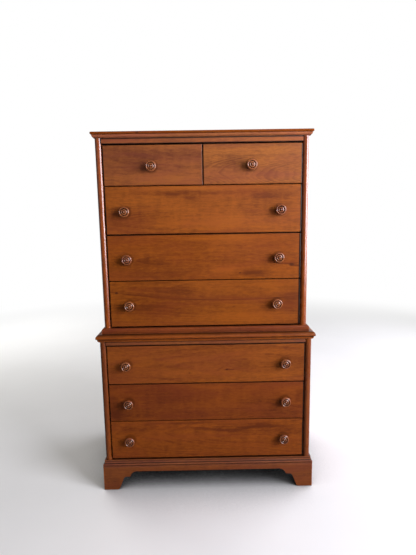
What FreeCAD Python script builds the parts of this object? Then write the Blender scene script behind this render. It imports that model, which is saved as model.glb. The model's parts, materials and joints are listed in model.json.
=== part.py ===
"""Chest on chest: a narrower upper case of drawers standing on a wider lower one.

Millimetres, +Z up, the drawers face -Y.  The origin is on the floor, under the middle
of the chest's overall width and depth, drawer knobs included.

The two cases are built alike.  Solid sides with round front edges carry web frames in
housings, and each frame holds a dust panel.  The drawer fronts stand in front of the
frames and cover them, so only a thin gap shows between one drawer and the next.  Every
drawer is dovetailed, half blind at the front and through at the back.
"""
import FreeCAD, Part
import os
import math

# ---- Driving dimensions: the two cases -------------------------------------------
upper_width = 800.0             # over the sides of the upper case
case_step = 18.0                # the lower case stands out this far at the front and each side
lower_depth = 457.0             # front edge of the lower sides to the back
side_thickness = 26.0
housing_depth = 6.0             # how far a frame is let into each side
back_thickness = 6.0
back_rebate_width = 13.0        # the back panels lap onto the sides by this much

# ---- Driving dimensions: heights --------------------------------------------------
bracket_height = 98.0           # floor to the underside of the lower case
lower_sill_height = 30.0        # bottom rail of the lower case, behind the base moulding
upper_sill_height = 22.0        # bottom rail of the upper case, behind the waist moulding
upper_frieze_height = 32.5      # rail over the top drawers of the upper case
lower_frieze_height = 26.5      # and of the lower one
lower_front_heights = (156.0, 154.0, 158.0)      # drawer fronts, top to bottom
upper_front_heights = (179.0, 175.5, 179.0)      # the wide ones, top to bottom
small_front_height = 147.0
front_gap = 3.5                 # between one drawer front and the next, above or below
sill_gap = 4.5                  # under the lowest front of each case
frieze_gap = 5.0                # over the small drawer fronts
centre_gap = 4.0                # between the two small drawer fronts

# ---- Driving dimensions: boards and mouldings -------------------------------------
top_thickness = 10.0
top_overhang = 12.5
waist_board_thickness = 18.0
waist_board_overhang = 12.0
waist_nose_height = 5.0         # the waist board's underside to the widest line of its nose
cornice_height = 12.0
cornice_projection = 7.5
waist_bed_height = 11.5
waist_bed_projection = 6.0
waist_moulding_projection = 8.0
bed_fillet_height = 2.0         # thin fillet under each quarter-round bed moulding
bed_fillet_projection = 2.0
base_fillet_height = 6.5        # of the base moulding, under its bead
base_bead_radius = 4.5
base_cap_height = 4.5           # square fillet along its top
base_cap_projection = 3.8
base_cap_step = 1.0             # the hollow starts this far behind the fillet's face
bracket_projection = 9.5        # face of the bracket base, out from the lower case

# ---- Driving dimensions: web frames -----------------------------------------------
frame_thickness = 18.0
front_rail_depth = 50.0
back_rail_depth = 40.0
runner_width = 42.0
groove_width = 5.0              # takes the dust panel and the runners' tongues
groove_depth = 10.0
sill_rail_depth = 40.0          # inner part of a rebated rail, behind the drawer front
partition_thickness = 18.0

# ---- Driving dimensions: bracket base ---------------------------------------------
bracket_thickness = 20.0
foot_width = 61.0               # of a foot at the floor, before its toe is rounded
toe_radius = 12.0
ankle_width = 84.3              # corner where its slanting inner edge meets the scroll's flat
ankle_height = 55.7
ankle_radius = 13.0
cusp_reach = 108.0              # outer edge of the foot to the point where the arch starts
cusp_height = 57.5
arch_reach = 143.0              # outer edge of the foot to where the straight apron starts
apron_rise = 79.5               # floor to the straight edge of the apron
rear_foot_width = 36.0          # of a plain rear bracket at the floor
rear_bracket_width = 100.0      # and where it meets the rear rail
corner_block_size = 45.0
corner_block_clearance = 12.0   # block above the floor

# ---- Driving dimensions: drawers --------------------------------------------------
front_thickness = 20.0
front_edge_radius = 2.5
drawer_setback = 1.5            # face of a drawer, back from the case's front edge
drawer_side_gap = 1.5           # beside a drawer
drawer_lap = 7.0                # wood left in front of the half-blind dovetails
drawer_board = 12.0             # thickness of the drawer sides and back
drawer_back_space = 14.0        # behind a closed drawer
bottom_thickness = 6.0
bottom_rise = 10.0              # underside of the drawer bottom above the sides' edge
bottom_groove = 6.0
pin_width = 7.0                 # narrow face of a dovetail pin
tail_pitch = 32.0               # aim; the tails share the joint's height evenly
dovetail_slope = 7.0            # 1 in 7
partition_clearance = 1.0
kicker_clearance = 2.5          # over a drawer's sides
running_clearance = 0.3         # a closed drawer lies this far from its runners and stops

# ---- Driving dimensions: knobs and fasteners --------------------------------------
knob_diameter = 40.0
knob_foot_diameter = 21.0
knob_neck_diameter = 15.0
knob_projection = 26.0
knob_rim_setback = 5.7          # front of the knob to its widest place
knob_rim_roll = 3.6             # radius of the rolled rim
knob_head_depth = 6.0           # widest place back to the neck
knob_button_diameter = 24.8     # domed middle of the face, inside the rim
knob_button_rise = 4.4
# From the ends of a wide drawer's front to its (left, right) knobs, top drawer first.  The
# holes were bored by hand, so no two pairs agree.
upper_knob_insets = ((74.0, 82.0), (76.0, 87.0), (78.0, 92.0))
lower_knob_insets = ((75.0, 78.0), (78.0, 76.0), (77.0, 82.0))
small_knob_shift = 5.0          # a small drawer's knob is this far left of its middle
upper_knob_drop = 5.0           # the upper case's knobs sit this far under mid-height
knob_screw_diameter = 4.0
knob_screw_grip = 12.0          # length of screw inside a knob
knob_screw_head_diameter = 9.0
knob_screw_head_thickness = 2.4
screw_hole_clearance = 0.25     # radial, through the drawer front
panel_screw_diameter = 3.5
panel_screw_length = 22.0
panel_screw_head_diameter = 8.0
panel_screw_head_thickness = 1.6
panel_screw_edge = 4.5          # panel's side edge to its screws
panel_screw_inset = 70.0        # panel's end to its first screw
panel_screws_per_side = 3

# ---- Places worked out from the dimensions above ----------------------------------
V = FreeCAD.Vector
halfway_round = math.sqrt(0.5)                   # sine and cosine of half a right angle
lower_width = upper_width + 2 * case_step
upper_half = upper_width / 2
lower_half = lower_width / 2
upper_inner = upper_half - side_thickness
lower_inner = lower_half - side_thickness

front_reach = max(knob_projection - drawer_setback, waist_board_overhang, bracket_projection)
back_y = (lower_depth + front_reach) / 2
lower_front = back_y - lower_depth
upper_front = lower_front + case_step
panel_front = back_y - back_thickness            # front face of both back panels
rail_offset = drawer_setback + front_thickness + running_clearance
rail_cover = (frame_thickness - front_gap) / 2   # a front laps a frame by this much

lower_sill = bracket_height + lower_sill_height
lower_frieze = (lower_sill + sill_gap + sum(lower_front_heights)
                + front_gap * len(lower_front_heights))
lower_top = lower_frieze + lower_frieze_height
upper_bottom = lower_top + waist_board_thickness
upper_sill = upper_bottom + upper_sill_height
small_row = (upper_sill + sill_gap + sum(upper_front_heights)
             + front_gap * len(upper_front_heights))
upper_frieze = small_row + small_front_height + frieze_gap
upper_top = upper_frieze + upper_frieze_height


# ---- Shape helpers ------------------------------------------------------------------
def block(x0, x1, y0, y1, z0, z1):
    """A board between two corners."""
    return Part.makeBox(x1 - x0, y1 - y0, z1 - z0, V(x0, y0, z0))


def line(start, end):
    """A straight edge."""
    return Part.LineSegment(start, end).toShape()


def arc(start, middle, end):
    """A round edge through three points."""
    return Part.Arc(start, middle, end).toShape()


def prism(edges, travel):
    """The solid that a closed outline sweeps along a vector."""
    return Part.Face(Part.Wire(edges)).extrude(travel)


def polygon_prism(points, travel):
    """The solid that a straight-sided outline sweeps along a vector."""
    return Part.Face(Part.makePolygon(points + points[:1])).extrude(travel)


def rod(start, direction, diameter, length):
    """A round bar."""
    return Part.makeCylinder(diameter / 2, length, start, direction)


def export(node, solids):
    """Write one named piece, or one named group of separate pieces."""
    shape = solids[0] if len(solids) == 1 else Part.makeCompound(solids)
    shape.exportStep("parts/" + node + ".step")


# ---- Boards and mouldings -------------------------------------------------------------
def nosed_board(half_width, front, z0, z1, nose_height):
    """A flat board with a round nose along its front and sides, mitred at the corners.

    The nose is widest at nose_height over the underside: one quarter round runs down
    from there, with that radius, and another runs up to the board's top.
    """
    widest = z0 + nose_height
    rise = z1 - widest
    low_belly = nose_height * halfway_round
    high_belly = rise * halfway_round

    def nose(at):
        """Both quarter rounds; at(inset, z) gives the point that far in from the nose."""
        return [arc(at(nose_height, z0), at(nose_height - low_belly, widest - low_belly),
                    at(0, widest)),
                arc(at(0, widest), at(rise - high_belly, widest + high_belly), at(rise, z1))]

    across = prism([line(V(-half_width, back_y, z0), V(-half_width, front + nose_height, z0))]
                   + nose(lambda inset, z: V(-half_width, front + inset, z))
                   + [line(V(-half_width, front + rise, z1), V(-half_width, back_y, z1)),
                      line(V(-half_width, back_y, z1), V(-half_width, back_y, z0))],
                   V(2 * half_width, 0, 0))
    flat_below = half_width - nose_height
    flat_above = half_width - rise
    right = nose(lambda inset, z: V(half_width - inset, front, z))
    left = nose(lambda inset, z: V(inset - half_width, front, z))
    along = prism([line(V(-flat_below, front, z0), V(flat_below, front, z0))] + right
                  + [line(V(flat_above, front, z1), V(-flat_above, front, z1))] + left[::-1],
                  V(0, back_y - front, 0))
    return across.common(along)


def mitred_moulding(profile, height, projection, half_width, front, z0):
    """Front length and two side lengths of a moulding, mitred round a case.

    profile(at) draws the closed outline; at(out, up) gives the point that far out
    from the case and above the moulding's lower edge.
    """
    far = half_width + projection
    nearest = front - projection

    def front_at(out, up):
        return V(-far, front - out, z0 + up)

    lengths = [(profile(front_at), V(2 * far, 0, 0),
                [(-half_width, front), (half_width, front), (far, nearest), (-far, nearest)])]
    for side in (-1, 1):
        def side_at(out, up):
            return V(side * (half_width + out), nearest, z0 + up)
        lengths.append((profile(side_at), V(0, back_y - nearest, 0),
                        [(side * half_width, front), (side * far, nearest),
                         (side * far, back_y), (side * half_width, back_y)]))
    pieces = []
    for edges, travel, plan in lengths:
        mitre = polygon_prism([V(x, y, z0) for x, y in plan], V(0, 0, height))
        pieces.append(prism(edges, travel).common(mitre).Solids[0])
    return pieces


def quarter_round(height, projection):
    """A bed moulding: a quarter round standing on a thin fillet, widest at the top."""
    def profile(at):
        rise = height - bed_fillet_height
        run = projection - bed_fillet_projection
        belly_out = bed_fillet_projection + run * halfway_round
        return [line(at(0, 0), at(bed_fillet_projection, 0)),
                line(at(bed_fillet_projection, 0), at(bed_fillet_projection, bed_fillet_height)),
                arc(at(bed_fillet_projection, bed_fillet_height),
                    at(belly_out, height - rise * halfway_round), at(projection, height)),
                line(at(projection, height), at(0, height)),
                line(at(0, height), at(0, 0))]
    return profile


def waist_profile(at):
    """The waist moulding: an upright face rolled over into the case at the top."""
    height = upper_sill_height
    roll = waist_moulding_projection
    belly = roll * halfway_round
    return [line(at(0, 0), at(roll, 0)),
            line(at(roll, 0), at(roll, height - roll)),
            arc(at(roll, height - roll), at(belly, height - roll + belly), at(0, height)),
            line(at(0, height), at(0, 0))]


def base_profile(at):
    """The base moulding: a fillet, a bead between two quirks, a hollow and a top fillet."""
    height = lower_sill_height
    fillet = base_fillet_height
    quirk = bracket_projection - base_bead_radius
    bead_middle = fillet + base_bead_radius
    bead_top = fillet + 2 * base_bead_radius
    cap_bottom = height - base_cap_height
    hollow = base_cap_projection - base_cap_step
    run = quirk - hollow
    rise = cap_bottom - bead_top
    return [line(at(0, 0), at(bracket_projection, 0)),
            line(at(bracket_projection, 0), at(bracket_projection, fillet)),
            line(at(bracket_projection, fillet), at(quirk, fillet)),
            arc(at(quirk, fillet), at(bracket_projection, bead_middle), at(quirk, bead_top)),
            arc(at(quirk, bead_top),
                at(quirk - run * halfway_round, cap_bottom - rise * halfway_round),
                at(hollow, cap_bottom)),
            line(at(hollow, cap_bottom), at(base_cap_projection, cap_bottom)),
            line(at(base_cap_projection, cap_bottom), at(base_cap_projection, height)),
            line(at(base_cap_projection, height), at(0, height)),
            line(at(0, height), at(0, 0))]


# ---- Case sides, backs and frames ---------------------------------------------------
def case_side(side, half_width, front, z0, z1, housings):
    """A solid case side with a full-round front edge.

    side is -1 on the left and 1 on the right.  Its inner face is cut for each frame,
    listed in housings as (bottom, top), and rebated for the back panel.
    """
    inner = half_width - side_thickness
    radius = side_thickness / 2
    outline = [arc(V(side * inner, front + radius, z0), V(side * (inner + radius), front, z0),
                   V(side * half_width, front + radius, z0)),
               line(V(side * half_width, front + radius, z0), V(side * half_width, back_y, z0)),
               line(V(side * half_width, back_y, z0), V(side * inner, back_y, z0)),
               line(V(side * inner, back_y, z0), V(side * inner, front + radius, z0))]
    board = prism(outline, V(0, 0, z1 - z0))
    cuts = []
    for bottom, top in housings:
        near, far = sorted((side * inner, side * (inner + housing_depth)))
        cuts.append(block(near, far, front + rail_offset, panel_front, bottom, top))
    near, far = sorted((side * inner, side * (inner + back_rebate_width)))
    cuts.append(block(near, far, panel_front, back_y, z0, z1))
    return board.cut(cuts)


def back_panel(inner, z0, z1):
    """A plywood back, let into the rebates of the two sides."""
    reach = inner + back_rebate_width
    return block(-reach, reach, panel_front, back_y, z0, z1)


def runner(x0, x1, front_end, back_end, groove_z, z0, z1, grooves):
    """A drawer runner with a tongue at each end and panel grooves on the named edges."""
    body = block(x0, x1, front_end, back_end, z0, z1)
    tongue = block(x0, x1, front_end - groove_depth, back_end + groove_depth,
                   groove_z, groove_z + groove_width)
    cuts = []
    if "left" in grooves:
        cuts.append(block(x0, x0 + groove_depth, front_end - groove_depth,
                          back_end + groove_depth, groove_z, groove_z + groove_width))
    if "right" in grooves:
        cuts.append(block(x1 - groove_depth, x1, front_end - groove_depth,
                          back_end + groove_depth, groove_z, groove_z + groove_width))
    return body.fuse(tongue).cut(cuts).removeSplitter()


def web_frame(inner, top, front_rail, front_rail_back, centre_runner):
    """A web frame: front and back rails, runners and the dust panels they hold.

    front_rail is the solid of the front rail before it is grooved, and
    front_rail_back the place of its back edge.
    """
    reach = inner + housing_depth
    bottom = top - frame_thickness
    groove_z = (top + bottom - groove_width) / 2
    back_rail_front = panel_front - back_rail_depth
    groove_front = block(-reach, reach, front_rail_back - groove_depth, front_rail_back,
                         groove_z, groove_z + groove_width)
    groove_back = block(-reach, reach, back_rail_front, back_rail_front + groove_depth,
                        groove_z, groove_z + groove_width)
    back_rail = block(-reach, reach, back_rail_front, panel_front, bottom, top)
    pieces = [front_rail.cut(groove_front), back_rail.cut(groove_back)]

    ends = (front_rail_back, back_rail_front, groove_z, bottom, top)
    left_edge = runner_width - inner
    pieces.append(runner(-reach, left_edge, *ends, ("right",)))
    pieces.append(runner(-left_edge, reach, *ends, ("left",)))
    bays = [(left_edge, -left_edge)]
    if centre_runner:
        half = runner_width / 2
        pieces.append(runner(-half, half, *ends, ("left", "right")))
        bays = [(left_edge, -half), (half, -left_edge)]
    for x0, x1 in bays:
        pieces.append(block(x0 - groove_depth, x1 + groove_depth,
                            front_rail_back - groove_depth, back_rail_front + groove_depth,
                            groove_z, groove_z + groove_width))
    return pieces


def plain_web_frame(inner, front, top, centre_runner=False):
    """A web frame between two rows of drawers, wholly behind the drawer fronts."""
    reach = inner + housing_depth
    rail_front = front + rail_offset
    rail_back = rail_front + front_rail_depth
    rail = block(-reach, reach, rail_front, rail_back, top - frame_thickness, top)
    return web_frame(inner, top, rail, rail_back, centre_runner)


def bottom_frame(inner, front, z0, sill):
    """The lowest frame of a case; its front rail comes forward under the drawer front."""
    reach = inner + housing_depth
    top = sill + sill_gap + rail_cover
    step = front + rail_offset
    rail_back = step + front_rail_depth
    rail = block(-inner, inner, front, step, z0, sill)
    rail = rail.fuse(block(-reach, reach, step, rail_back, z0, top)).removeSplitter()
    return web_frame(inner, top, rail, rail_back, False)


def top_frame(inner, front, frieze, kicker_bottom, z1, centre_kicker):
    """The frieze rail of a case with the kickers that stop the top drawers tipping."""
    reach = inner + housing_depth
    step = front + rail_offset
    rail_back = step + sill_rail_depth
    rail = block(-inner, inner, front, step, frieze, z1)
    rail = rail.fuse(block(-reach, reach, step, rail_back, kicker_bottom, z1)).removeSplitter()
    back_rail_front = panel_front - back_rail_depth
    pieces = [rail, block(-reach, reach, back_rail_front, panel_front, kicker_bottom, z1)]
    edge = inner - runner_width
    pieces.append(block(-reach, -edge, rail_back, back_rail_front, kicker_bottom, z1))
    pieces.append(block(edge, reach, rail_back, back_rail_front, kicker_bottom, z1))
    if centre_kicker:
        half = runner_width / 2
        pieces.append(block(-half, half, rail_back, back_rail_front, kicker_bottom, z1))
    return pieces


# ---- Bracket base -----------------------------------------------------------------------
def rounded_corner(before, corner, after, radius):
    """Start, middle and end of the arc that rounds the corner between two straight lines."""
    to_before = (before - corner).normalize()
    to_after = (after - corner).normalize()
    half_angle = to_before.getAngle(to_after) / 2
    tangent = radius / math.tan(half_angle)
    inwards = (to_before + to_after).normalize()
    middle = corner + inwards * (radius / math.sin(half_angle) - radius)
    return corner + to_before * tangent, middle, corner + to_after * tangent


def scrolled_bracket(length, at):
    """Outline of a bracket board with a scrolled foot at each end.

    at(along, up) gives the point that far along the board and above the floor.  A foot's
    slanting inner edge is rounded at the toe and at the ankle, where the scroll starts
    with a short flat; past its cusp an arch rises to the straight apron.
    """
    toe = V(foot_width, 0, 0)
    ankle = V(ankle_width, ankle_height, 0)
    cusp = V(cusp_reach, cusp_height, 0)
    toe_arc = rounded_corner(V(0, 0, 0), toe, ankle, toe_radius)
    ankle_arc = rounded_corner(toe, ankle, cusp, ankle_radius)
    arch = V(arch_reach - (arch_reach - cusp_reach) * halfway_round,
             cusp_height + (apron_rise - cusp_height) * halfway_round, 0)
    arch_end = V(arch_reach, apron_rise, 0)

    def foot(place):
        def put(*points):
            return [place(point.x, point.y) for point in points]
        return [line(*put(V(0, bracket_height, 0), V(0, 0, 0))),
                line(*put(V(0, 0, 0), toe_arc[0])),
                arc(*put(*toe_arc)),
                line(*put(toe_arc[2], ankle_arc[0])),
                arc(*put(*ankle_arc)),
                line(*put(ankle_arc[2], cusp)),
                arc(*put(cusp, arch, arch_end))]

    near = foot(at)
    far = foot(lambda along, up: at(length - along, up))
    apron = line(at(arch_reach, apron_rise), at(length - arch_reach, apron_rise))
    top = line(at(length, bracket_height), at(0, bracket_height))
    return near + [apron] + far[::-1] + [top]


def bracket_base():
    """Front, left, right and back of the base, each a list of pieces.

    The front corners are mitred. The back, which is never seen, has a straight rail and
    two plain splayed brackets instead of a scrolled board.
    """
    out = bracket_projection
    half = lower_half + out
    front = lower_front - out
    inner_half = half - bracket_thickness
    inner_front = front + bracket_thickness
    tall = V(0, 0, bracket_height)

    front_board = prism(scrolled_bracket(2 * half, lambda along, up: V(along - half, front, up)),
                        V(0, bracket_thickness, 0))
    front_plan = polygon_prism([V(-half, front, 0), V(half, front, 0),
                                V(inner_half, inner_front, 0), V(-inner_half, inner_front, 0)],
                               tall)
    pieces = {"front": [front_board.common(front_plan)]}

    length = back_y - front
    for name, side in (("left", -1), ("right", 1)):
        near, far = side * inner_half, side * half
        board = prism(scrolled_bracket(length, lambda along, up: V(near, front + along, up)),
                      V(far - near, 0, 0))
        plan = polygon_prism([V(far, front, 0), V(far, back_y, 0),
                              V(near, back_y, 0), V(near, inner_front, 0)], tall)
        pieces[name] = [board.common(plan)]

    rail_front = back_y - bracket_thickness
    pieces["back"] = [block(-inner_half, inner_half, rail_front, back_y,
                            apron_rise, bracket_height)]
    for side in (-1, 1):
        outline = [V(side * inner_half, rail_front, 0),
                   V(side * (inner_half - rear_foot_width), rail_front, 0),
                   V(side * (inner_half - rear_bracket_width), rail_front, apron_rise),
                   V(side * inner_half, rail_front, apron_rise)]
        pieces["back"].append(polygon_prism(outline, V(0, bracket_thickness, 0)))
    return pieces


def corner_blocks():
    """Glue blocks of triangular section in the four corners of the bracket base."""
    x = lower_half + bracket_projection - bracket_thickness
    front = lower_front - bracket_projection + bracket_thickness
    rear = back_y - bracket_thickness
    size = corner_block_size
    rise = bracket_height - corner_block_clearance
    blocks = []
    for side in (-1, 1):
        for y, direction in ((front, 1), (rear, -1)):
            points = [V(side * x, y, corner_block_clearance),
                      V(side * (x - size), y, corner_block_clearance),
                      V(side * x, y + direction * size, corner_block_clearance)]
            blocks.append(polygon_prism(points, V(0, 0, rise)))
    return blocks


def panel_screws(inner, z0, z1):
    """Flush screws up both edges of a back panel, through it and into the sides."""
    screws = []
    head = panel_screw_head_thickness
    x = inner + back_rebate_width - panel_screw_edge
    pitch = (z1 - z0 - 2 * panel_screw_inset) / (panel_screws_per_side - 1)
    for side in (-1, 1):
        for count in range(panel_screws_per_side):
            seat = V(side * x, back_y, z0 + panel_screw_inset + count * pitch)
            shank = rod(seat, V(0, -1, 0), panel_screw_diameter, panel_screw_length)
            cap = rod(seat, V(0, -1, 0), panel_screw_head_diameter, head)
            screws.append(shank.fuse(cap).removeSplitter())
    return screws


# ---- Drawers ------------------------------------------------------------------------------
def dovetails(x0, x1, root, tip, z0, z1):
    """The tails of one joint: wedges from root to tip, wider at the tip."""
    count = max(2, round((z1 - z0) / tail_pitch))
    pitch = (z1 - z0) / count
    tip_half = (pitch - pin_width) / 2
    root_half = tip_half - abs(tip - root) / dovetail_slope
    tails = []
    for number in range(count):
        z = z0 + pitch * (number + 0.5)
        tails.append(polygon_prism([V(x0, root, z - root_half), V(x0, tip, z - tip_half),
                                    V(x0, tip, z + tip_half), V(x0, root, z + root_half)],
                                   V(x1 - x0, 0, 0)))
    return tails


def knob_solid(x, face, z):
    """A turned knob: foot, waisted neck, rolled rim and a dished face with a domed button."""
    foot = knob_foot_diameter / 2
    rim = knob_diameter / 2
    rim_out = knob_projection - knob_rim_setback     # widest place, out from the drawer
    head_out = rim_out - knob_head_depth             # where the head leaves the neck
    roll_radius = rim - knob_rim_roll                # top of the rolled rim
    roll_out = rim_out + knob_rim_roll

    def at(radius, out):
        return V(x + radius, face - out, z)

    # The underside of the head is a round that runs smoothly into the rim.
    under = (rim ** 2 - foot ** 2 - knob_head_depth ** 2) / (2 * (rim - foot))
    turn = math.atan2(-knob_head_depth, foot - under) / 2

    # The domed button is part of a sphere, so that its outline meets the axis squarely.
    button = knob_button_diameter / 2
    button_out = knob_projection - knob_button_rise
    sphere = (button ** 2 + knob_button_rise ** 2) / (2 * knob_button_rise)
    dome_out = knob_projection - sphere + math.sqrt(sphere ** 2 - (button / 2) ** 2)

    outline = [line(at(0, 0), at(foot, 0)),
               arc(at(foot, 0), at(knob_neck_diameter / 2, head_out / 2), at(foot, head_out)),
               arc(at(foot, head_out),
                   at(under + (rim - under) * math.cos(turn),
                      rim_out + (rim - under) * math.sin(turn)), at(rim, rim_out)),
               arc(at(rim, rim_out),
                   at(roll_radius + knob_rim_roll * halfway_round,
                      rim_out + knob_rim_roll * halfway_round), at(roll_radius, roll_out)),
               line(at(roll_radius, roll_out), at(button, button_out)),
               arc(at(button, button_out), at(button / 2, dome_out), at(0, knob_projection)),
               line(at(0, knob_projection), at(0, 0))]
    solid = Part.Face(Part.Wire(outline)).revolve(V(x, 0, z), V(0, 1, 0), 360)
    return solid.cut(rod(V(x, face, z), V(0, -1, 0), knob_screw_diameter, knob_screw_grip))


def knob_screw(x, face, z):
    """The machine screw that holds a knob, its head inside the drawer."""
    inside = face + front_thickness
    shank = rod(V(x, face - knob_screw_grip, z), V(0, 1, 0),
                knob_screw_diameter, knob_screw_grip + front_thickness)
    cap = rod(V(x, inside, z), V(0, 1, 0), knob_screw_head_diameter, knob_screw_head_thickness)
    return shank.fuse(cap).removeSplitter()


def drawer(name, case_front, front_x, box_x, z0, height, knob_x, knob_drop):
    """One whole drawer.

    front_x and box_x are the (left, right) ends of its front and of its box; where the
    front runs past the box, its end is rebated down to the lap.
    """
    face = case_front + drawer_setback
    front_back = face + front_thickness
    z1 = z0 + height
    box_z0 = z0 + rail_cover + running_clearance
    box_z1 = z1 - rail_cover - kicker_clearance
    box_back = panel_front - drawer_back_space
    back_face = box_back - drawer_board
    bottom_z0 = box_z0 + bottom_rise
    bottom_z1 = bottom_z0 + bottom_thickness
    knob_z = (z0 + z1) / 2 - knob_drop
    left, right = box_x

    # The front: eased face, rebated ends, groove for the bottom, sockets, screw holes.
    front = block(*front_x, face, front_back, z0, z1)
    face_edges = [edge for edge in front.Edges
                  if all(abs(vertex.Y - face) < 1e-6 for vertex in edge.Vertexes)]
    front = front.makeFillet(front_edge_radius, face_edges)
    cuts = []
    if left > front_x[0]:
        cuts.append(block(front_x[0], left, face + drawer_lap, front_back, z0, z1))
    if front_x[1] > right:
        cuts.append(block(right, front_x[1], face + drawer_lap, front_back, z0, z1))
    floor = block(left + drawer_board - bottom_groove, right - drawer_board + bottom_groove,
                  front_back - bottom_groove, box_back, bottom_z0, bottom_z1)
    cuts.append(floor)

    # The sides: half-blind tails at the front, through tails at the back.
    sides = []
    for x0, x1 in ((left, left + drawer_board), (right - drawer_board, right)):
        front_tails = dovetails(x0, x1, front_back, face + drawer_lap, box_z0, box_z1)
        back_tails = dovetails(x0, x1, back_face, box_back, bottom_z1, box_z1)
        board = block(x0, x1, front_back, back_face, box_z0, box_z1)
        heel = block(x0, x1, back_face, box_back, box_z0, bottom_z1)
        board = board.fuse(front_tails + back_tails + [heel])
        sides.append((board.cut(floor).removeSplitter(), back_tails))
        cuts += front_tails

    back = block(left, right, back_face, box_back, bottom_z1, box_z1)
    for _, back_tails in sides:
        back = back.cut(back_tails)

    hole_diameter = knob_screw_diameter + 2 * screw_hole_clearance
    for x in knob_x:
        cuts.append(rod(V(x, face, knob_z), V(0, 1, 0), hole_diameter, front_thickness))

    export(name + "_front", [front.cut(cuts)])
    export(name + "_box", [sides[0][0], sides[1][0], back, floor])
    export(name + "_knobs", [knob_solid(x, face, knob_z) for x in knob_x])
    export(name + "_knob_screws", [knob_screw(x, face, knob_z) for x in knob_x])


def wide_drawer(name, case_front, inner, z0, height, knob_insets, knob_drop):
    """A drawer as wide as its case."""
    end = inner - drawer_side_gap
    knob_x = (knob_insets[0] - end, end - knob_insets[1])
    drawer(name, case_front, (-end, end), (-end, end), z0, height, knob_x, knob_drop)


def small_drawers(z0):
    """The two drawers that share the top row; each has one knob near its middle."""
    end = upper_inner - drawer_side_gap
    near = centre_gap / 2
    box_near = partition_thickness / 2 + partition_clearance
    middle = (end + near) / 2
    drawer("small_drawer_left", upper_front, (-end, -near), (-end, -box_near), z0,
           small_front_height, (-middle - small_knob_shift,), upper_knob_drop)
    drawer("small_drawer_right", upper_front, (near, end), (box_near, end), z0,
           small_front_height, (middle - small_knob_shift,), upper_knob_drop)


# ---- The chest ----------------------------------------------------------------------------
def build_case(label, half_width, front, z0, z1, sill, frieze, heights, knob_insets,
               knob_drop, small):
    """Sides, back, frames and wide drawers of one case.

    heights are the wide drawer fronts, top to bottom, and knob_insets places their
    knobs; small is True where a row of two small drawers stands over them.  Returns the
    web frames, top to bottom, the underside of the kickers and the back panel's screws.
    """
    inner = half_width - side_thickness
    frames = []
    housings = [(z0, sill + sill_gap + rail_cover)]
    z = sill + sill_gap
    for number in range(len(heights), 0, -1):
        height = heights[number - 1]
        wide_drawer(label + "_drawer_%d" % number, front, inner, z, height,
                    knob_insets[number - 1], knob_drop)
        z += height + front_gap
        if number > 1 or small:
            top = z + rail_cover
            frames.append(plain_web_frame(inner, front, top, small and number == 1))
            housings.append((top - frame_thickness, top))
    row_top = frieze - frieze_gap if small else frieze - front_gap
    kicker_bottom = row_top - rail_cover
    housings.append((kicker_bottom, z1))

    screws = panel_screws(inner, z0, z1)
    for name, side in (("left", -1), ("right", 1)):
        board = case_side(side, half_width, front, z0, z1, housings)
        export(label + "_side_" + name, [board.cut(screws)])
    export(label + "_back_panel", [back_panel(inner, z0, z1).cut(screws)])
    export(label + "_bottom_frame", bottom_frame(inner, front, z0, sill))
    export(label + "_top_frame", top_frame(inner, front, frieze, kicker_bottom, z1, small))
    return frames[::-1], kicker_bottom, screws


def main():
    """Write every piece of the chest."""
    os.makedirs("parts", exist_ok=True)

    upper_frames, kicker_bottom, upper_screws = build_case(
        "upper", upper_half, upper_front, upper_bottom, upper_top, upper_sill, upper_frieze,
        upper_front_heights, upper_knob_insets, upper_knob_drop, True)
    lower_frames, _, lower_screws = build_case(
        "lower", lower_half, lower_front, bracket_height, lower_top, lower_sill, lower_frieze,
        lower_front_heights, lower_knob_insets, 0.0, False)
    for number, frame in enumerate(upper_frames + lower_frames, start=1):
        export("web_frame_%d" % number, frame)
    small_drawers(small_row)
    half = partition_thickness / 2
    export("small_drawer_partition",
           [block(-half, half, upper_front + rail_offset, panel_front,
                  small_row + rail_cover, kicker_bottom)])

    export("top_board", [nosed_board(upper_half + top_overhang, upper_front - top_overhang,
                                     upper_top, upper_top + top_thickness,
                                     top_thickness / 2)])
    export("waist_board", [nosed_board(lower_half + waist_board_overhang,
                                       lower_front - waist_board_overhang,
                                       lower_top, upper_bottom, waist_nose_height)])
    export("cornice_moulding",
           mitred_moulding(quarter_round(cornice_height, cornice_projection),
                           cornice_height, cornice_projection, upper_half, upper_front,
                           upper_top - cornice_height))
    export("waist_moulding",
           mitred_moulding(waist_profile, upper_sill_height, waist_moulding_projection,
                           upper_half, upper_front, upper_bottom))
    export("waist_bed_moulding",
           mitred_moulding(quarter_round(waist_bed_height, waist_bed_projection),
                           waist_bed_height, waist_bed_projection, lower_half, lower_front,
                           lower_top - waist_bed_height))
    export("base_moulding",
           mitred_moulding(base_profile, lower_sill_height, bracket_projection,
                           lower_half, lower_front, bracket_height))
    for name, boards in bracket_base().items():
        export("bracket_base_" + name, boards)
    export("corner_blocks", corner_blocks())
    export("back_panel_screws", upper_screws + lower_screws)


main()
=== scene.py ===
# %% [markdown]
# # Finishing a chest on chest in cherry
#
# The chest is already built: a packed CAD model holds every board, frame, drawer and
# screw at its real size.  This notebook gives it its looks.  The pieces that the eye
# rests on, with rounded fronts, mouldings, scrolled brackets and turned knobs, are made
# again as smooth surfaces.  The plain boards, the dovetailed drawer boxes and the frames
# stay as they are and only get their wood.

# %% Load the model
import json
import math

import bpy
import numpy as np
from mathutils import Matrix, Vector

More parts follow.
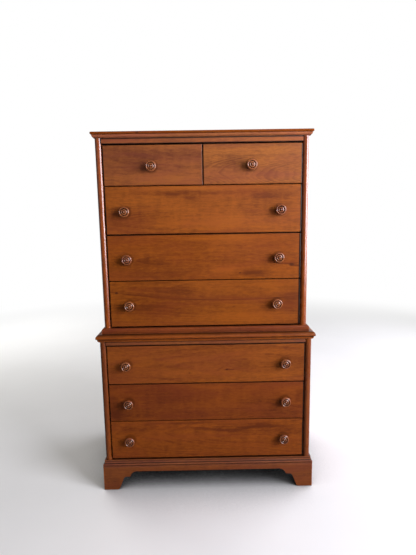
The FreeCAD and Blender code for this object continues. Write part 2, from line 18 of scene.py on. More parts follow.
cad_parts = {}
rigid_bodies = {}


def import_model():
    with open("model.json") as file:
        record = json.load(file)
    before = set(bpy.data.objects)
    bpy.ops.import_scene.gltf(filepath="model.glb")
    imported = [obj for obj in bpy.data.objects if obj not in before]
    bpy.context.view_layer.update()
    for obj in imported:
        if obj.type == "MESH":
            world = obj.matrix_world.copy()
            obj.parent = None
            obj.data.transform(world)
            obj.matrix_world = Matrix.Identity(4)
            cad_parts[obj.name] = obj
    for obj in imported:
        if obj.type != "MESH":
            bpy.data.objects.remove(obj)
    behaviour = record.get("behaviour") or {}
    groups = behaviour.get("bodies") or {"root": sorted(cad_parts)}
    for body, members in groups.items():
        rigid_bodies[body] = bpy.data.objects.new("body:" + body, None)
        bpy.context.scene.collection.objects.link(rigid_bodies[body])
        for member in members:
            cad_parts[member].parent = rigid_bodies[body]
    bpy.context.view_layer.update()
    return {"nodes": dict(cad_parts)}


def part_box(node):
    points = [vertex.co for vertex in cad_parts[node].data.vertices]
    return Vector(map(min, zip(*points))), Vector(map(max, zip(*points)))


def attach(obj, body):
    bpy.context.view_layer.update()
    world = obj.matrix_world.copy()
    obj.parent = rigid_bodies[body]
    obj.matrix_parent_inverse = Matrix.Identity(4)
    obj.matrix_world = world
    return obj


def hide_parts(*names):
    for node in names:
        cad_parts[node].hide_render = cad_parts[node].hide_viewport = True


for leftover in list(bpy.data.objects):
    bpy.data.objects.remove(leftover)
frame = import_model()

# %% [markdown]
# ## Reading the sizes
#
# Every new piece takes its place from the node it stands for, so nothing is fitted by
# eye.  `span` gives a node's lowest and highest corners and `extent` its three lengths,
# as plain arrays in metres.

# %% Places taken from the model
MM = 0.001


def span(node):
    """The lowest and highest corner of a node."""
    low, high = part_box(node)
    return np.array(low), np.array(high)


def extent(node):
    """A node's width, depth and height."""
    low, high = span(node)
    return high - low


def case_front(moulding, half):
    """A moulding's front, moved back by as much as its side stands out from the case."""
    low, high = span(moulding)
    return low[1] + (high[0] - half)


SIDE_THICKNESS = extent("upper_side_right")[0]
UPPER_HALF, BACK = span("upper_side_right")[1][:2]
LOWER_HALF = span("lower_side_right")[1][0]
LOWER_TOP = span("waist_board")[0][2]
UPPER_FRONT = case_front("waist_moulding", UPPER_HALF)
LOWER_FRONT = case_front("base_moulding", LOWER_HALF)
KNOB_RADIUS = extent("upper_drawer_1_knobs")[2] / 2
SIDES = (("left", -1), ("right", 1))


def knob_centres(drawer):
    """The (x, z) of a drawer's knobs, a radius in from the left and the right of their node.

    The facets of a round node put a single knob's two places a tenth of a millimetre
    apart, so that knob is made twice, one copy nearly hidden in the other.
    """
    low, high = span(drawer + "_knobs")
    places = {round(low[0] + KNOB_RADIUS, 6), round(high[0] - KNOB_RADIUS, 6)}
    return [(x, (low[2] + high[2]) / 2) for x in sorted(places)]


print("the cases are", round(2 * UPPER_HALF, 4), "and", round(2 * LOWER_HALF, 4), "m wide,",
      "their fronts at", round(UPPER_FRONT, 4), "and", round(LOWER_FRONT, 4))
print("a knob is", round(2 * KNOB_RADIUS, 4), "m across")

# %% [markdown]
# ## A mesh from whole arrays
#
# A surface is worked out as an array of points and handed to Blender in one go.  Two
# things are added to it.  The first is its shading: each corner takes the normals of the
# faces around it, weighted by their area, so a wide flat stays flat right up to the
# small round beside it.  The second is a `grain` attribute, which says for every point
# how far it lies along the board, across it and into it.  The wood is drawn in those
# three lengths, so the grain follows each board whichever way it runs.  A third number
# says how much painted shade darkens each point: quirks, gaps and undersides that would lie in
# shade are painted darker.

# %% Shading, and a test of which way faces look
def read(elements, name, width=1, kind=float):
    """One row for each face or corner, as wide as the value it holds."""
    values = np.empty(len(elements) * width, kind)
    elements.foreach_get(name, values)
    return values.reshape(-1, width)


def shade(mesh):
    """Smooth normals: the sum of (face normal x face area) over the faces at each point."""
    faces = mesh.polygons
    weighted = read(faces, "normal", 3) * read(faces, "area")
    corners = read(faces, "loop_total", kind=np.int32)[:, 0]
    owner = read(mesh.loops, "vertex_index", kind=np.int32)[:, 0]
    total = np.zeros((len(mesh.vertices), 3))
    np.add.at(total, owner, np.repeat(weighted, corners, axis=0))
    total /= np.maximum(np.linalg.norm(total, axis=1, keepdims=True), 1e-12)
    faces.foreach_set("use_smooth", np.ones(len(faces), bool))
    mesh.normals_split_custom_set_from_vertices(total.tolist())


def enclosed_volume(mesh):
    """One third of the sum of centre . normal x area: positive when faces point outwards."""
    faces = mesh.polygons
    flow = read(faces, "center", 3) * read(faces, "normal", 3) * read(faces, "area")
    return float(flow.sum() / 3)


corners = [(0, 0, 0), (1, 0, 0), (0, 1, 0), (0, 0, 1)]
trial = bpy.data.meshes.new("trial")
trial.from_pydata(corners, [], [(0, 2, 1), (0, 1, 3), (0, 3, 2), (1, 2, 3)])
print("a corner cut off a cube holds", round(enclosed_volume(trial), 4), "of it")
bpy.data.meshes.remove(trial)

# %% A finished piece
def piece(name, shells, body, nodes, material):
    """An object made of closed shells, each given as (points, faces, grain axes, painted shade).
    """
    points, faces, grain, painted_shade = [], [], [], []
    offset = 0
    for shell, (corner, polygons, axes, dark) in enumerate(shells):
        points.append(corner)
        faces += [[offset + index for index in polygon] for polygon in polygons]
        grain.append(corner[:, axes] + shell * np.array([1.7, 0.31, 0.0]))
        painted_shade.append(np.broadcast_to(dark, len(corner)))
        offset += len(corner)
    mesh = bpy.data.meshes.new(name)
    mesh.from_pydata(np.vstack(points).tolist(), [], faces)
    if enclosed_volume(mesh) < 0:
        mesh.flip_normals()
    attribute = mesh.attributes.new("grain", "FLOAT_VECTOR", "POINT")
    attribute.data.foreach_set("vector", np.vstack(grain).ravel())
    attribute = mesh.attributes.new("painted_shade", "FLOAT", "POINT")
    attribute.data.foreach_set("value", np.concatenate(painted_shade))
    shade(mesh)
    mesh.materials.append(material)
    made = bpy.data.objects.new(name, mesh)
    bpy.context.scene.collection.objects.link(made)
    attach(made, body)
    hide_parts(*nodes)
    print(name, "has", len(mesh.polygons), "faces and rides on", body)


# The columns that give (along, across, depth) for a board lying along X, Y or Z.
ALONG_X, ALONG_Y, ALONG_Z = [0, 2, 1], [1, 2, 0], [2, 0, 1]
print("grain columns:", ALONG_X, ALONG_Y, ALONG_Z)

# %% [markdown]
# ## Outlines
#
# A moulding plane leaves crisp edges, but hands and polish soon take the sharpness off
# them.  A perfectly sharp edge catches no light, so each corner of an outline is eased:
# it becomes a short parabola between two points a little way before and after it.

# %% Arcs
def turn(centre, radius, start, end, steps=12):
    """Points on a circle: centre + radius (cos a, sin a), a from start to end in degrees."""
    angle = np.radians(np.linspace(start, end, steps))
    return np.array(centre) + radius * np.stack([np.cos(angle), np.sin(angle)], axis=1)


def arc_through(first, middle, last, steps=14):
    """Points on the circle through three points, from the first to the last."""
    points = np.array([first, middle, last])
    matrix = 2 * (points[1:] - points[0])
    centre = np.linalg.solve(matrix, (points[1:] ** 2).sum(1) - (points[0] ** 2).sum())
    angle = np.unwrap(np.arctan2(*(points - centre).T[::-1]))
    radius = np.linalg.norm(points[0] - centre)
    return turn(centre, radius, math.degrees(angle[0]), math.degrees(angle[2]), steps)


def rounded(before, corner, after, radius, steps=8):
    """The arc that touches both sides of a corner, r / tan(half its angle) away from it."""
    before, corner, after = (np.asarray(place, float) for place in (before, corner, after))
    back = (before - corner) / np.linalg.norm(before - corner)
    ahead = (after - corner) / np.linalg.norm(after - corner)
    half_angle = math.acos(float(back @ ahead)) / 2
    inwards = (back + ahead) / np.linalg.norm(back + ahead)
    reach = radius / math.tan(half_angle)
    middle = corner + inwards * (radius / math.sin(half_angle) - radius)
    return arc_through(corner + back * reach, middle, corner + ahead * reach, steps)


print("a quarter circle ends at", turn((0, 0), 1, 0, 90)[-1].round(3))

# %% Eased corners
SHARP = math.cos(math.radians(24))       # an outline that bends more than this has a corner


def eased(loop, reach=0.7 * MM, steps=5):
    """Rounds the sharp corners of a closed outline.

    A corner P becomes (1-t)^2 A + 2t(1-t) P + t^2 B, where A and B lie `reach` before and
    after it, or at most 45% of the way to the next point.
    """
    back = np.roll(loop, 1, axis=0) - loop
    ahead = np.roll(loop, -1, axis=0) - loop
    back_length = np.linalg.norm(back, axis=1, keepdims=True)
    ahead_length = np.linalg.norm(ahead, axis=1, keepdims=True)
    back = back / back_length
    ahead = ahead / ahead_length
    sharp = -(back * ahead).sum(1) < SHARP
    room = np.minimum(reach, 0.45 * np.minimum(back_length, ahead_length))
    room = np.where(sharp[:, None], room, 0.0)
    t = np.linspace(0, 1, steps)[None, :, None]
    start = (loop + back * room)[:, None, :]
    end = (loop + ahead * room)[:, None, :]
    curve = (1 - t) ** 2 * start + 2 * t * (1 - t) * loop[:, None, :] + t ** 2 * end
    keep = sharp[:, None] | (np.arange(steps) == 0)[None, :]
    return curve[keep]


square = eased(np.array([(0, 0), (1, 0), (1, 1), (0, 1)]) * 10 * MM)
print("a square with eased corners has", len(square), "points")

# %% The painted shade in the quirks
def divided(loop, step=0.7 * MM):
    """The same closed outline with each side cut into equal parts no longer than step."""
    ahead = np.roll(loop, -1, axis=0) - loop
    parts = np.ceil(np.linalg.norm(ahead, axis=1) / step).astype(int)
    number = np.arange(parts.sum()) - np.repeat(np.cumsum(parts) - parts, parts)
    share = number / np.repeat(parts, parts)
    return np.repeat(loop, parts, axis=0) + share[:, None] * np.repeat(ahead, parts, axis=0)


def painted_shade_along(outline, quirks):
    """Painted shade at each point: the sum of strength x exp(-(distance / width)^2), up to 1.

    A quirk is (out, up, width, strength): a place in the outline where shade would fall, painted
    darker.
    """
    quirks = np.array(quirks)
    distance = np.linalg.norm(outline[:, None, :] - quirks[None, :, :2], axis=2)
    left = quirks[:, 3] * np.exp(-(distance / quirks[:, 2]) ** 2)
    return np.minimum(left.sum(1), 1.0)


print("cut up, the square has", len(divided(square)), "points to hold the polish")

# %% Shells between outlines
def tube(stations):
    """Faces between closed outlines that follow each other: rows of quads round and round."""
    rows, columns = stations.shape[:2]
    index = np.arange(rows * columns).reshape(rows, columns)
    near, far = index[:-1], index[1:]
    quads = np.stack([near, np.roll(near, -1, axis=1), np.roll(far, -1, axis=1), far], axis=-1)
    return quads.reshape(-1, 4).tolist()


def loft(start, end, axes, painted_shade):
    """A closed shell between two outlines of as many points, with flat sharp-edged ends."""
    count = len(start)
    points = np.vstack([start, end, start, end])
    ends = [list(range(2 * count, 3 * count))[::-1], list(range(3 * count, 4 * count))]
    return points, tube(np.stack([start, end])) + ends, axes, np.tile(painted_shade, 4)


print("a shell from the square has", len(loft(square, square, None, 0.0)[1]), "faces")

# %% [markdown]
# ## A graph written as formulas
#
# A shader is a graph of small nodes.  Drawn by hand it soon turns into a tangle, so this
# class lets it be written as formulas: each method adds one node and gives back its
# output, ready to go into the next.  It writes materials, and the world in the same way.

# %% The shader writer
class Finish:
    """A material or world whose nodes are added by calling methods, inputs first."""

    def __init__(self, owner):
        owner.use_nodes = True
        self.owner = owner
        self.nodes = owner.node_tree.nodes
        self.links = owner.node_tree.links
        self.nodes.clear()

    def add(self, kind, inputs=(), **settings):
        """One node, its settings, and its inputs by name or number."""
        node = self.nodes.new(kind)
        for key, value in settings.items():
            setattr(node, key, value)
        for key, value in dict(inputs).items():
            if isinstance(value, bpy.types.NodeSocket):
                self.links.new(value, node.inputs[key])
            else:
                node.inputs[key].default_value = value
        return node

    def math(self, operation, first, second=0.0, third=0.0):
        """An arithmetic node."""
        return self.add("ShaderNodeMath", {0: first, 1: second, 2: third},
                        operation=operation).outputs[0]

    def times(self, first, second):
        """first x second."""
        return self.math("MULTIPLY", first, second)

    def plus(self, first, second):
        """first + second."""
        return self.math("ADD", first, second)

    def times_plus(self, first, second, third):
        """first x second + third."""
        return self.math("MULTIPLY_ADD", first, second, third)

    def place(self):
        """Where a point lies in the chest, in metres."""
        return self.add("ShaderNodeTexCoord").outputs["Object"]

    def vector(self, operation, first, second=(0, 0, 0)):
        """Arithmetic on three numbers at once."""
        return self.add("ShaderNodeVectorMath", {0: first, 1: second},
                        operation=operation).outputs[0]

    def apart(self, vector):
        """The three numbers of a vector."""
        return self.add("ShaderNodeSeparateXYZ", {0: vector}).outputs

    def length(self, vector):
        """How long a vector is."""
        return self.add("ShaderNodeVectorMath", {0: vector}, operation="LENGTH").outputs[1]

    def join(self, x, y, z):
        """A vector of three numbers."""
        return self.add("ShaderNodeCombineXYZ", {0: x, 1: y, 2: z}).outputs[0]

    def noise(self, place, stretch, detail=2.0, roughness=0.5, distortion=0.0):
        """Smooth noise between 0 and 1; stretch is its cycles per metre each way."""
        place = self.vector("MULTIPLY", place, stretch)
        return self.add("ShaderNodeTexNoise",
                        {"Vector": place, "Scale": 1.0, "Detail": detail,
                         "Roughness": roughness, "Distortion": distortion}).outputs["Fac"]

    def fade(self, value, start, end, low=0.0, high=1.0, step="SMOOTHSTEP"):
        """A smooth or LINEAR step: low up to start, high from end on."""
        return self.add("ShaderNodeMapRange",
                        {"Value": value, "From Min": start, "From Max": end,
                         "To Min": low, "To Max": high},
                        interpolation_type=step).outputs["Result"]

    def mix(self, amount, first, second):
        """From the first colour to the second, by an amount from 0 to 1."""
        node = self.add("ShaderNodeMix", data_type="RGBA")
        for key, value in ((0, amount), (6, first), (7, second)):
            if isinstance(value, bpy.types.NodeSocket):
                self.links.new(value, node.inputs[key])
            else:
                node.inputs[key].default_value = (*value, 1) if key else value
        return node.outputs[2]

    def output(self, kind, shader):
        """The last node, which shows the shader; gives back the finished owner."""
        self.add(kind, {0: shader.outputs[0]})
        return self.owner

    def surface(self, colour, roughness, height, relief, glow=0.0, **fixed):
        """The shader itself; relief is how many metres a height of 1 stands for."""
        bump = self.add("ShaderNodeBump", {"Height": height, "Distance": relief,
                                           "Strength": 1.0})
        shader = self.add("ShaderNodeBsdfPrincipled",
                          {"Base Color": colour, "Roughness": roughness,
                           "Normal": bump.outputs[0], "Emission Color": (1, 1, 1, 1),
                           "Emission Strength": glow})
        for key, value in fixed.items():
            shader.inputs[key.replace("_", " ")].default_value = value
        return self.output("ShaderNodeOutputMaterial", shader)


def new_finish(name):
    """A shader writer for a new material."""
    return Finish(bpy.data.materials.new(name))


print("the shader writer has:", ", ".join(word for word in vars(Finish) if word[0] != "_"))

# %% [markdown]
# ## How a board shows its rings
#
# A tree grows as a nest of slightly wandering tubes.  A board is a flat cut through them,
# so its figure is worked out the same way: the distance from the heart of the tree says
# which year's wood lies at a point.  Where the cut runs nearly along the rings they
# spread into long tongues, and where it crosses them they close up into fine lines.
#
# Cherry is a quiet wood, so its rings are faint.  What the eye sees first are long
# streaks and clouds where it took up more or less stain, and a ripple across the grain.
# Fine pores and short flecks go on top.  All of it reads one vector: metres along the
# board, across it and into it.

# %% Rings and knots
TREMOR = 1.2 * MM        # how far a ring's line shakes


def exponential(sh, value):
    """e to the power of minus the value."""
    return sh.math("POWER", math.e, sh.times(value, -1.0))


def ring_pattern(sh, place, heart, lean, year, wander, knots):
    """A saw-tooth of (distance from the heart / year), and the dark eyes of the knots.

    Each year's wood climbs slowly to its dark edge and drops back.  A knot adds
    2 r exp(-away / 2r) to the distance, so the rings flow round it.
    """
    along, across, depth = sh.apart(place)
    sway = sh.noise(place, (0.9, 5.0, 5.0), detail=1.5, distortion=0.3)
    dip = sh.noise(sh.vector("ADD", place, (9.0, 2.0, 5.0)), (1.5, 8.0, 8.0), detail=2.0)
    shake = sh.noise(sh.vector("ADD", place, (4.0, 7.0, 1.0)), (11.0, 45.0, 45.0), detail=2.0)
    across = sh.times_plus(sway, wander * 5, across)
    depth = sh.times_plus(dip, wander * 4, depth)
    depth = sh.times_plus(along, lean, depth)
    from_heart = sh.join(sh.math("SUBTRACT", across, heart[0]),
                         sh.math("SUBTRACT", depth, heart[1]), 0.0)
    distance = sh.length(from_heart)
    distance = sh.times_plus(shake, TREMOR, distance)
    eyes = 0.0
    for knot_along, knot_across, radius in knots:
        offset = sh.vector("SUBTRACT", place, (knot_along, knot_across, 0.0))
        away = sh.length(sh.vector("MULTIPLY", offset, (0.6, 1.0, 0.0)))
        swell = exponential(sh, sh.math("DIVIDE", away, 2 * radius))
        distance = sh.times_plus(swell, 2 * radius, distance)
        eyes = sh.math("MAXIMUM", eyes, sh.fade(away, 0.3 * radius, 1.2 * radius, 1.0, 0.0))
    years = sh.math("DIVIDE", distance, year)
    part = sh.math("FRACT", years)
    ring = sh.times(sh.fade(part, 0.0, 0.85), sh.fade(part, 0.85, 1.0, 1.0, 0.0))
    uneven = sh.noise(sh.join(years, sh.times(along, 3.0), 3.0), (0.6, 1.0, 1.0))
    return sh.times(ring, sh.fade(uneven, 0.35, 0.65, 0.15, 1.0)), eyes


print("a ring's line shakes by up to", TREMOR / MM, "mm")

# %% Everything that a board shows
def stain_patches(sh, place, patches):
    """The sum of strength x exp(-(u^2 + v^2)) over soft-edged patches.

    u and v are the distances along and across the board, over the patch's half size.
    Positive ones are darker, negative ones lighter.  A sixth number bows a patch.
    """
    ragged = sh.noise(sh.vector("ADD", place, (3.0, 8.0, 2.0)), (7.0, 38.0, 5.0), detail=3.0)
    total = 0.0
    for along, across, half_length, half_height, strength, *bow in patches:
        x, y, _ = sh.apart(sh.vector("SUBTRACT", place, (along, across, 0.0)))
        if bow:
            y = sh.math("SUBTRACT", y, sh.times(sh.times(x, x), bow[0]))
        u = sh.math("DIVIDE", x, half_length)
        v = sh.math("DIVIDE", y, half_height)
        v = sh.plus(v, sh.times_plus(ragged, 2.2, -1.1))
        spread = sh.plus(sh.times(u, u), sh.times(v, v))
        total = sh.times_plus(exponential(sh, spread), strength, total)
    return total


# Cycles per metre along, across and into the board, and the settings of the noise.
NOISES = {
    "fibre": ((9.0, 520.0, 520.0), dict(detail=3.0, roughness=0.6)),
    "flecks": ((70.0, 1400.0, 1400.0), dict(detail=1.0)),
    "streak": ((2.2, 62.0, 20.0), dict(detail=3.0, roughness=0.6, distortion=0.25)),
    "cloud": ((2.4, 9.0, 4.0), dict(detail=3.0, roughness=0.55, distortion=0.5)),
    "curl": ((30.0, 6.0, 4.0), dict(detail=2.0, roughness=0.6, distortion=0.8)),
    "mottle": ((42.0, 165.0, 60.0), dict(detail=3.0, roughness=0.7, distortion=0.6))}


def board_figure(sh, place, heart=(0.9, 0.3), lean=0.02, year=4 * MM, wander=8 * MM,
                 ripple=0.3, knots=(), patches=(), seed=0.0):
    """Every mark of a board by name, each between about 0 and 1 except the stain."""
    ring, eyes = ring_pattern(sh, place, heart, lean, year, wander, knots)
    stain = stain_patches(sh, place, patches)
    place = sh.vector("ADD", place, (seed * 3.1, seed * 1.7, 0.0))
    marks = {name: sh.noise(place, stretch, **settings)
             for name, (stretch, settings) in NOISES.items()}
    marks["flecks"] = sh.fade(marks["flecks"], 0.66, 0.78)
    stain = sh.plus(stain, sh.times_plus(marks["curl"], ripple, -ripple / 2))
    return dict(marks, place=place, ring=ring, eyes=eyes, stain=stain)


print("a board is drawn with rings, stain and", len(NOISES), "noises:", ", ".join(NOISES))

# %% [markdown]
# ## Cherry under stain and lacquer
#
# Old cherry furniture is stained a red brown, shaded a little darker here and there, and
# rubbed down to a satin shine.  The stain sits deeper in the soft early wood and in the
# pores.  Edges that are handled wear back towards orange, and the quirks get painted shade:
# the Ambient Occlusion node finds both, looking inwards from a surface for edges and
# outwards for hollows, and only at the piece itself.

# %% The stained colour
PALE_CHERRY = (0.370, 0.086, 0.0075)
DEEP_CHERRY = (0.150, 0.030, 0.0045)
RED_CHERRY = (0.260, 0.048, 0.0100)
DARK_LINE = (0.050, 0.012, 0.0045)
WORN_CHERRY = (0.52, 0.155, 0.030)
PAINTED_SHADE_COLOUR = (0.010, 0.0035, 0.0015)
STAIN_TAKEN = {"ring": 0.22, "cloud": 0.75, "streak": 0.48, "fibre": 0.22, "mottle": 1.1}


def scaled(colour, factor):
    """A colour made lighter or darker, by one number or by one for each channel."""
    return tuple((np.array(colour) * factor).tolist())


def cherry_colour(sh, place, tone=1.0, rings=STAIN_TAKEN["ring"], **figure):
    """The stained colour of a board, the height of its grain, and its marks.

    The stain's depth is the sum of mark x share; tone scales the colours it goes between.
    """
    marks = board_figure(sh, place, **figure)
    depth = marks["stain"]
    for name, share in dict(STAIN_TAKEN, ring=rings).items():
        depth = sh.times_plus(marks[name], share, depth)
    colour = sh.mix(sh.fade(depth, 0.85, 1.9), scaled(PALE_CHERRY, tone),
                    scaled(DEEP_CHERRY, tone))
    redder = sh.fade(sh.noise(marks["place"], (2.3, 13.0, 5.0), detail=4.0, roughness=0.65,
                              distortion=0.5), 0.4, 0.7)
    for mark, share, darker in ((redder, 0.5, scaled(RED_CHERRY, tone)),
                                (marks["flecks"], 0.35, DARK_LINE),
                                (marks["eyes"], 0.85, DARK_LINE)):
        colour = sh.mix(sh.times(mark, share), colour, darker)
    height = sh.times_plus(marks["flecks"], -0.9, marks["fibre"])
    return colour, sh.times_plus(marks["ring"], 0.35, height), marks


print("stained cherry goes from", PALE_CHERRY, "to", DEEP_CHERRY)

# %% Worn edges, painted shade in the quirks and a rubbed shine
WORN_EDGE, SHADED_HOLLOW = 2.6 * MM, 7 * MM       # how far from a corner it is rubbed, and how far the painted shade in hollows reaches
KNOB_SHADOW, KNOB_SHADOW_WIDTH = 0.38, 9 * MM             # the painted shadow's strength round a knob, and its width
CLOUDY, FIBROUS, RUBBED = 0.12, 0.05, 0.12       # what each adds to the roughness


def wear_and_painted_shade(sh, colour, amount, painted_shade):
    """Edges rubbed back to a lighter colour, with a wavering amount, and painted shade in the
    hollows and where the mesh or a drawer front asks for it.
    """
    edge = sh.add("ShaderNodeAmbientOcclusion", {"Distance": WORN_EDGE}, samples=6,
                  inside=True, only_local=True).outputs["AO"]
    hollow = sh.add("ShaderNodeAmbientOcclusion", {"Distance": SHADED_HOLLOW}, samples=6,
                    only_local=True).outputs["AO"]
    patchy = sh.noise(sh.place(), (22.0, 22.0, 22.0), detail=3.0)
    patchy = sh.fade(patchy, 0.35, 0.75, 0.25, 1.0)
    rubbed = sh.times(sh.fade(edge, 0.93, 0.55), patchy)
    colour = sh.mix(sh.times(rubbed, amount), colour, WORN_CHERRY)
    # Painted shade: hollows are darkened towards half of DARK_LINE.
    colour = sh.mix(sh.fade(hollow, 0.86, 0.35, 0.0, 0.8), colour, scaled(DARK_LINE, 0.5))
    return sh.mix(painted_shade, colour, PAINTED_SHADE_COLOUR), rubbed


def lacquer(sh, marks, rubbed, shine, duller):
    """Roughness of the rubbed finish: cloudy, smeared along the grain, duller where worn.

    duller is (from, to, amount): hands polish the front edge, and between those two
    depths in the chest the board grows rougher by the amount.
    """
    smear = sh.noise(marks["place"], (3.0, 11.0, 6.0), detail=4.0, roughness=0.65)
    rough = sh.fade(smear, 0.3, 0.75, shine, shine + CLOUDY)
    rough = sh.times_plus(marks["fibre"], FIBROUS, rough)
    if duller is not None:
        start, end, amount = duller
        rough = sh.plus(rough, sh.fade(sh.apart(sh.place())[1], start, end, 0.0, amount))
    return sh.times_plus(rubbed, RUBBED, rough)


print("edges are worn", WORN_EDGE / MM, "mm in, and dirt lies up to", SHADED_HOLLOW / MM, "mm deep")

# %% The cherry material
def painted_rim_shade(sh, box, rim, knobs):
    """Painted shade along the rim of a drawer front, for the dark gaps beside it, and a painted
    shadow around its knobs.

    rim gives (strength, from, to) for the left, right, lower and upper edge: a smooth
    step inwards, in metres.
    """
    place = sh.place()
    axis = sh.apart(place)
    away = (sh.math("SUBTRACT", axis[0], box[0][0]), sh.math("SUBTRACT", box[1][0], axis[0]),
            sh.math("SUBTRACT", axis[2], box[0][2]), sh.math("SUBTRACT", box[1][2], axis[2]))
    painted_shade = 0.0
    for distance, (strength, start, end) in zip(away, rim):
        painted_shade = sh.math("MAXIMUM", painted_shade, sh.fade(distance, start, end, strength, 0.0))
    for x, z in knobs:
        from_knob = sh.vector("SUBTRACT", place, (x, 0.0, z))
        distance = sh.length(sh.vector("MULTIPLY", from_knob, (1.0, 0.0, 1.0)))
        painted_shadow = sh.fade(distance, KNOB_RADIUS, KNOB_RADIUS + KNOB_SHADOW_WIDTH, KNOB_SHADOW, 0.0)
        painted_shade = sh.math("MAXIMUM", painted_shade, painted_shadow)
    return painted_shade


def board_place(sh, order):
    """Where a point lies in its board: order names the chest's axes, None reads the grain."""
    if order is None:
        return sh.add("ShaderNodeAttribute", attribute_name="grain").outputs["Vector"]
    axis = sh.apart(sh.place())
    return sh.join(*[axis["XYZ".index(letter)] for letter in order])


def cherry(name, order=None, worn=0.5, shine=0.34, specular=0.3, coat=0.1, front=None,
           rim=(), knobs=(), duller=None, **looks):
    """A cherry material, its shine set by a base reflection and a clear coat over it.

    front, rim and knobs are the box of a drawer front, the painted shade along its edges and
    the places of its knobs, round which a painted shadow lies; without them the painted shade is
    read from the mesh.
    """
    sh = new_finish(name)
    colour, height, marks = cherry_colour(sh, board_place(sh, order), **looks)
    if front is None:
        painted_shade = sh.add("ShaderNodeAttribute", attribute_name="painted_shade").outputs["Fac"]
    else:
        painted_shade = painted_rim_shade(sh, front, rim, knobs)
    colour, rubbed = wear_and_painted_shade(sh, colour, worn, painted_shade)
    rough = lacquer(sh, marks, rubbed, shine, duller)
    return sh.surface(colour, rough, height, 0.06 * MM, Specular_IOR_Level=specular,
                      IOR=1.45, Coat_Weight=coat, Coat_Roughness=0.17, Coat_IOR=1.5)


print("dirt reaches", KNOB_SHADOW_WIDTH / MM, "mm out from under a knob")

# %% [markdown]
# ## The eight drawer fronts
#
# Each front is one board with a figure of its own, so each has its own material: where
# the heart of its tree lay, how it leans, how light it took the stain, and its knots.
# A patch is (along, across, half length, half height, strength) and, where it is curved,
# its bow.  The fronts keep the mesh of the model, with its eased edges and its dovetail
# sockets.

# %% Drawer fronts
# The tones also grow darker towards the lower fronts, partly painted shade for the light that
# falls off lower down.
FRONTS = {
    "small_drawer_left": dict(
        heart=(1.40, 0.30), tone=(0.81, 1.05, 2.6), ripple=0.45, seed=1.0, patches=[
            (-0.26, 1.334, 0.14, 0.014, 0.15), (-0.03, 1.331, 0.06, 0.016, 0.20),
            (-0.12, 1.366, 0.10, 0.008, -0.30), (-0.15, 1.245, 0.20, 0.022, -0.25)]),
    "small_drawer_right": dict(
        heart=(1.29, -0.05), lean=0.10, year=3 * MM, wander=15 * MM, rings=0.34,
        tone=(0.95, 1.30, 2.7), seed=2.0, patches=[
            (0.11, 1.308, 0.03, 0.03, 0.25), (0.247, 1.263, 0.05, 0.012, 0.25),
            (0.25, 1.35, 0.16, 0.012, -0.2)]),
    "upper_drawer_1": dict(
        heart=(1.10, -0.10), year=4 * MM, ripple=0.45, tone=(0.86, 0.98, 1.32), seed=3.0,
        patches=[
            (0.0, 1.196, 0.27, 0.007, 0.30), (-0.117, 1.190, 0.03, 0.009, 0.5),
            (-0.046, 1.174, 0.025, 0.014, 0.45), (0.237, 1.182, 0.045, 0.010, 0.45),
            (-0.014, 1.08, 0.18, 0.022, -0.45), (-0.30, 1.10, 0.10, 0.05, 0.30),
            (0.07, 1.213, 0.25, 0.006, -0.35)]),
    "upper_drawer_2": dict(
        heart=(0.97, -0.14), lean=0.03, year=4 * MM, wander=10 * MM, tone=(0.80, 0.85, 0.85),
        seed=4.0,
        knots=[(0.337, 0.918, 7 * MM), (0.137, 0.889, 3 * MM)], patches=[
            (0.318, 0.923, 0.035, 0.002, 1.8, 1.2), (0.365, 0.915, 0.02, 0.003, 1.5, 3.0),
            (0.187, 0.887, 0.05, 0.010, 0.7), (-0.218, 0.937, 0.06, 0.012, 0.40),
            (0.076, 0.906, 0.05, 0.010, -0.35), (-0.03, 1.025, 0.30, 0.006, -0.25),
            (-0.24, 0.885, 0.16, 0.018, 0.25)]),
    "upper_drawer_3": dict(
        heart=(0.86, -0.30), lean=-0.02, year=7 * MM, wander=12 * MM, tone=(0.75, 0.82, 0.87),
        seed=5.0,
        knots=[(-0.345, 0.817, 5 * MM)], patches=[
            (0.103, 0.783, 0.40, 0.0018, 1.2, 0.17), (0.10, 0.790, 0.36, 0.007, 0.2, 0.17),
            (-0.235, 0.758, 0.12, 0.020, 0.35), (0.187, 0.716, 0.17, 0.018, -0.35),
            (0.333, 0.771, 0.04, 0.030, 0.40), (0.243, 0.842, 0.12, 0.010, -0.25),
            (-0.093, 0.824, 0.07, 0.010, 0.25)]),
    "lower_drawer_1": dict(
        heart=(0.53, 0.50), lean=0.0, year=3.5 * MM, wander=5 * MM, ripple=0.15,
        tone=(0.79, 0.88, 1.3), seed=6.0,
        knots=[(0.082, 0.505, 4 * MM), (-0.066, 0.493, 2.5 * MM)], patches=[
            (-0.185, 0.519, 0.07, 0.018, 0.25), (0.30, 0.475, 0.10, 0.014, -0.25),
            (0.093, 0.505, 0.014, 0.002, 2.5)]),
    "lower_drawer_2": dict(
        heart=(0.40, 0.60), year=5 * MM, wander=7 * MM, ripple=0.45, tone=(0.64, 0.63, 0.92),
        seed=7.0, patches=[
            (0.024, 0.431, 0.04, 0.008, -0.35), (-0.161, 0.386, 0.07, 0.028, 0.25),
            (0.243, 0.366, 0.10, 0.022, 0.15), (-0.365, 0.33, 0.05, 0.03, 0.25)]),
    "lower_drawer_3": dict(
        heart=(0.26, -0.06), lean=0.05, year=5 * MM, wander=12 * MM, tone=(0.77, 0.79, 0.97),
        seed=8.0,
        patches=[
            (0.07, 0.246, 0.12, 0.007, 0.6, 0.9), (0.24, 0.262, 0.09, 0.010, 0.4, -1.2),
            (-0.048, 0.267, 0.04, 0.008, -0.4), (0.068, 0.221, 0.05, 0.010, 0.2),
            (-0.299, 0.253, 0.05, 0.012, 0.25), (-0.10, 0.281, 0.10, 0.004, 0.4)]),
}
